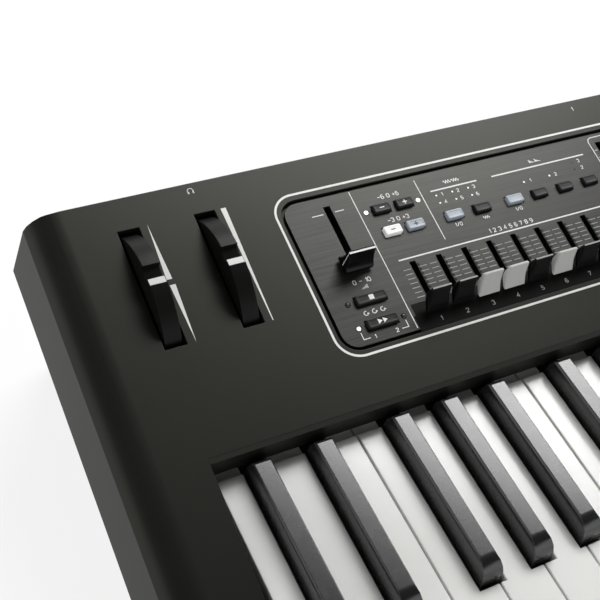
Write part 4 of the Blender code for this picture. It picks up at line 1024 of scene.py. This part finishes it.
# %% Drawbar knobs
KNOB_HEIGHT = 0.0132
KNOB_FORWARD = 0.0007
KNOB_LEAN = 0.0048
KNOB_HOLLOW = 0.00035
KNOB_TIP = 0.0016
KNOB_FOOT_DEPTH = 0.0022
KNOB_BELLY_DEPTH = 0.0068
KNOB_BELLY = 0.55
KNOB_PINCH = 0.05
KNOB_STEPS = 12
LIP = 0.0011
HIGHLIGHT_WIDTH = 0.0008


def knob_sides(front, t):
    """Where the front and the rear of a knob are at the share t of its height."""
    near = front + KNOB_LEAN * t + KNOB_HOLLOW * math.sin(math.pi * t)
    if t < KNOB_BELLY:
        rise = math.sin(t / KNOB_BELLY * math.pi / 2)
        return near, front + KNOB_FOOT_DEPTH + (KNOB_BELLY_DEPTH - KNOB_FOOT_DEPTH) * rise
    back = (t - KNOB_BELLY) / (1 - KNOB_BELLY)
    return near, front + KNOB_BELLY_DEPTH + (KNOB_LEAN + KNOB_TIP - KNOB_BELLY_DEPTH) * back


def make_drawbar(name):
    low, high = lying(name)
    middle, half = (low.x + high.x) / 2, (high.x - low.x) / 2
    front = low.y - KNOB_FORWARD
    base = high.z - KNOB_HEIGHT
    rings = []
    for step in range(KNOB_STEPS + 1):
        t = step / KNOB_STEPS
        near, far = knob_sides(front, t)
        thick = (far - near) * 0.48
        front_radius = min(0.0006 + 0.0024 * t, 0.0016, thick)
        wide = half * (1 - KNOB_PINCH * t ** 1.2)
        ring = rounded(about(middle, wide), (near, far), front_radius, min(0.0007, thick), 5)
        rings.append((ring, base + (KNOB_HEIGHT - LIP) * t))
    for angle in (20, 40, 60, 80):
        share = 1 - math.cos(math.radians(angle))
        near = front + KNOB_LEAN + 0.0008 * share
        far = front + KNOB_LEAN + KNOB_TIP - 0.0003 * share
        wide = half * (1 - KNOB_PINCH) - 0.0014 * share
        ring = rounded(about(middle, wide), (near, far), (far - near) * 0.45, steps=5)
        rings.append((ring, high.z - LIP + LIP * math.sin(math.radians(angle))))
    shape = bmesh.new()
    loft(shape, rings)
    stem = rounded(about(middle, STEM_HALF), (low.y + 0.0005, low.y + 0.0030), STEM_CORNER)
    loft(shape, [(stem, low.z), (stem, base + 0.0026)])
    white = SLOT_OF[name] == "drawbar_white"
    finish = PADDLE_WHITE if white else CAP_BLACK
    knob = on_slope(name + "_knob", shape, finish, BODY_OF[name], 50)
    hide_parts(name)
    if not white:
        # Painted highlight: a paler strip along the lip, for the light that the glossy lip catches.
        edge = bmesh.new()
        u = front + KNOB_LEAN + 0.0009
        ribbon(edge, [(middle - half * 0.80, u), (middle + half * 0.86, u)], HIGHLIGHT_WIDTH, high.z - 0.00003)
        on_slope(name + "_edge", edge, LIP_PAINTED_HIGHLIGHT, BODY_OF[name])


for number in range(1, 10):
    make_drawbar("drawbar_" + str(number))
print("drawbar knobs done")

# %% [markdown]
# Buttons are short caps with round corners and a shallow dish on top. Four are pale, and one of those is lit
# fully white; the other three glow faintly as painted light, with no lamp behind them. Six carry a plain
# sign, printed on the dish. The presets are four caps on one strip.

# %% Buttons
BUTTON_CORNER = 0.0011
DISH = 0.00010
BUTTON_LEVELS = ((0, 0.0008), (0.00008, 0.00045), (0.00028, 0.00015), (0.00055, 0.0), (0.0009, 0.00003),
                 (0.0014, DISH), (0.0018, DISH))
SIGN_HEIGHT = 0.0038
SIGN_WEIGHT = 0.16
SQUARE_HALF = 0.0013
ARROW_LONG = 0.0024
ARROW_HALF = 0.0014
PRESET_HALF = 0.0050
PRESET_U = (0.04935, 0.05465)
BUTTON_FINISH = {"octave_down_button": BUTTON_LIT, "octave_up_button": BUTTON_PALE_PAINTED_GLOW,
                 "vibrato_on_button": BUTTON_PALE_PAINTED_GLOW, "percussion_on_button": BUTTON_PALE_PAINTED_GLOW}
BUTTON_SIGN = {"transpose_down_button": "-", "transpose_up_button": "+", "octave_down_button": "-",
               "octave_up_button": "+"}


def cap(shape, x, u, low, high):
    """A button's cap between the limits x and u, from low to high."""
    rings = [(rounded(x, u, BUTTON_CORNER), low)]
    for inset, drop in BUTTON_LEVELS:
        ring = rounded((x[0] + inset, x[1] - inset), (u[0] + inset, u[1] - inset),
                       max(0.0003, BUTTON_CORNER - inset))
        rings.append((ring, high - drop))
    loft(shape, rings)


def draw_sign(shape, name, x, u, level):
    if name in BUTTON_SIGN:
        mark(shape, BUTTON_SIGN[name], x, u - SIGN_HEIGHT / 2, SIGN_HEIGHT, level, SIGN_WEIGHT)
    if name == "stop_button":
        patch(shape, rounded(about(x, SQUARE_HALF), about(u, SQUARE_HALF), 0.0001), level)
    if name == "speed_button":
        for left in (x - 0.0026, x + 0.0002):
            patch(shape, [(left, u - ARROW_HALF), (left + ARROW_LONG, u), (left, u + ARROW_HALF)], level)


for name in SOLIDS:
    if not name.endswith("_button"):
        continue
    low, high = lying(name)
    shape = bmesh.new()
    cap(shape, (low.x, high.x), (low.y, high.y), low.z, high.z)
    finish = BUTTON_FINISH.get(name, BUTTON_DARK)
    button = on_slope(name + "_cap", shape, finish, BODY_OF[name], 40)
    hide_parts(name)
    if name in BUTTON_SIGN or name in ("stop_button", "speed_button"):
        sign = bmesh.new()
        draw_sign(sign, name, (low.x + high.x) / 2, (low.y + high.y) / 2, high.z - DISH)
        on_slope(name + "_sign", sign, PRINT_DARK if name in BUTTON_FINISH else PRINT_WHITE, BODY_OF[name])

low, high = lying("preset_buttons")
strip = bmesh.new()
plinth = rounded((low.x, high.x), (low.y, high.y), 0.001)
loft(strip, [(plinth, low.z), (plinth, low.z + 0.0016)])
for x in PRESET_X:
    cap(strip, about(x, PRESET_HALF), PRESET_U, low.z + 0.0008, high.z)
presets = on_slope("preset_caps", strip, BUTTON_DARK, "preset_buttons", 40)
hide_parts("preset_buttons")
print("buttons done")

# %% [markdown]
# The dial is a knob with fine flutes round its side and a shallow hollow on top, with a white pointer. The
# display beside it shows a plain number and a row of rising bars.

# %% Dial and display
low, high = lying("data_dial")
centre = ((low.x + high.x) / 2, (low.y + high.y) / 2)
DIAL_RADIUS = (high.x - low.x) / 2
DIAL_FOOT = high.z - 0.0140
DIAL_LEVELS = ((0.0, 0.0, DIAL_FOOT), (0.0, 0.0, DIAL_FOOT + 0.0015), (0.0008, 0.0005, DIAL_FOOT + 0.0022),
               (0.0012, 0.0005, high.z - 0.0015), (0.0020, 0.0003, high.z - 0.0006), (0.0030, 0.0, high.z),
               (0.0038, 0.0, high.z - 0.0001), (0.0060, 0.0, high.z - 0.0006))
DIAL_MIDDLE = 0.0015
FLUTES = 24
SHAFT = 0.0030


def fluted(radius, depth, steps=96):
    """A ring round the dial's axis with flutes that are depth deep."""
    points = []
    for i in range(steps):
        angle = math.tau * i / steps
        reach = radius - depth * (0.5 + 0.5 * math.cos(FLUTES * angle))
        points.append((centre[0] + reach * math.cos(angle), centre[1] + reach * math.sin(angle)))
    return points


dial = bmesh.new()
rings = [(fluted(DIAL_RADIUS - inset, depth), w) for inset, depth, w in DIAL_LEVELS]
loft(dial, rings + [(fluted(DIAL_MIDDLE, 0.0), high.z - 0.0008)])
shaft = circle(*centre, SHAFT)
loft(dial, [(shaft, low.z), (shaft, DIAL_FOOT + 0.0005)])
dial_piece = on_slope("data_dial_knob", dial, CAP_BLACK, "data_dial", 50)
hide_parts("data_dial")
pointer = bmesh.new()
front, rear = centre[1] + DIAL_RADIUS - 0.0058, centre[1] + DIAL_RADIUS - 0.0036
ribbon(pointer, [(centre[0], front), (centre[0], rear)], 0.0009, high.z - 0.00035)
on_slope("dial_pointer", pointer, PRINT_WHITE, "data_dial")

low, high = lying("display_window")
figures = bmesh.new()
mark(figures, "120", (low.x + high.x) / 2, low.y + 0.0065, 0.0110, high.z, 0.11)
for step in range(12):
    x = low.x + 0.006 + step * 0.0016
    ribbon(figures, [(x, low.y + 0.006), (x, low.y + 0.0072 + step * 0.0008)], 0.0008, high.z)
on_slope("display_figures", figures, LAMP_ON)
print("dial and display done")

# %% [markdown]
# At the back, each socket has a ring nut round its hole, and the mains inlet has three pins. Screws hold the
# tray from below.

# %% Sockets and screws
SOCKET_Z = 0.035
JACK_X = [-0.159 + index * JACK_PITCH for index in range(4)]
INLET_X = -0.026
INLET_DEPTH = 0.0130
INLET_PINS = ((0.0, 0.0033), (-0.0070, -0.0022), (0.0070, -0.0022))
PIN_HALF = 0.0010
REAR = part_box("jack_plate")[1][1]
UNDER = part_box("bottom_case")[0][2]


def blade(angle):
    """Half the width of a flat pin, in one direction."""
    return PIN_HALF / max(abs(math.cos(angle)), 0.5 * abs(math.sin(angle)))


def cross_slot(angle):
    """The same for a screw's cross-shaped slot."""
    return 0.0011 + 0.0006 * math.cos(4 * angle)


NUT = ((0.0033, -0.004), (0.0033, 0.0005), (0.0038, 0.0010), (0.0052, 0.0010), (0.0056, 0.0006),
       (0.0056, -0.0002))
PIN = ((blade, -INLET_DEPTH - 0.0005), (blade, -0.0035), (0.0006, -0.0025))
SCREW = ((0.0030, -0.0003), (0.0032, 0.0003), (0.0028, 0.0009), (0.0020, 0.0012), (cross_slot, 0.0013),
         (cross_slot, 0.0004))


def at_rear(x, z):
    """Places a turned piece on the rear face."""
    return lambda a, b, height: (x + a, REAR + height, z + b)


def under_tray(x, y):
    """Places a turned piece under the tray."""
    return lambda a, b, height: (x + a, y + b, UNDER - height)


def turned(shape, place, profile, steps=32, closed=False):
    """A turned piece: (radius, height) points round an axis. A radius may change with the angle."""
    angles = [math.tau * i / steps for i in range(steps)]
    rows = []
    for radius, height in profile:
        reach = [radius(a) if callable(radius) else radius for a in angles]
        rows.append([place(r * math.cos(a), r * math.sin(a), height) for r, a in zip(reach, angles)])
    join_rows(shape, rows, closed)
    bmesh.ops.recalc_face_normals(shape, faces=shape.faces)


nuts, pins, screws = bmesh.new(), bmesh.new(), bmesh.new()
for x in JACK_X:
    turned(nuts, at_rear(x, SOCKET_Z), NUT, closed=True)
for x, z in INLET_PINS:
    turned(pins, at_rear(INLET_X + x, SOCKET_Z + z), PIN)
for x in (-0.43, -0.22, 0.0, 0.22, 0.43):
    for y in (-0.075, 0.075):
        turned(screws, under_tray(x, y), SCREW)
finish_piece("jack_nuts", nuts, BRACKET_METAL)
finish_piece("inlet_pins", pins, BRACKET_METAL)
finish_piece("tray_screws", screws, BED_METAL)
print("rear face at y", round(REAR, 4), "underside at z", round(UNDER, 4))
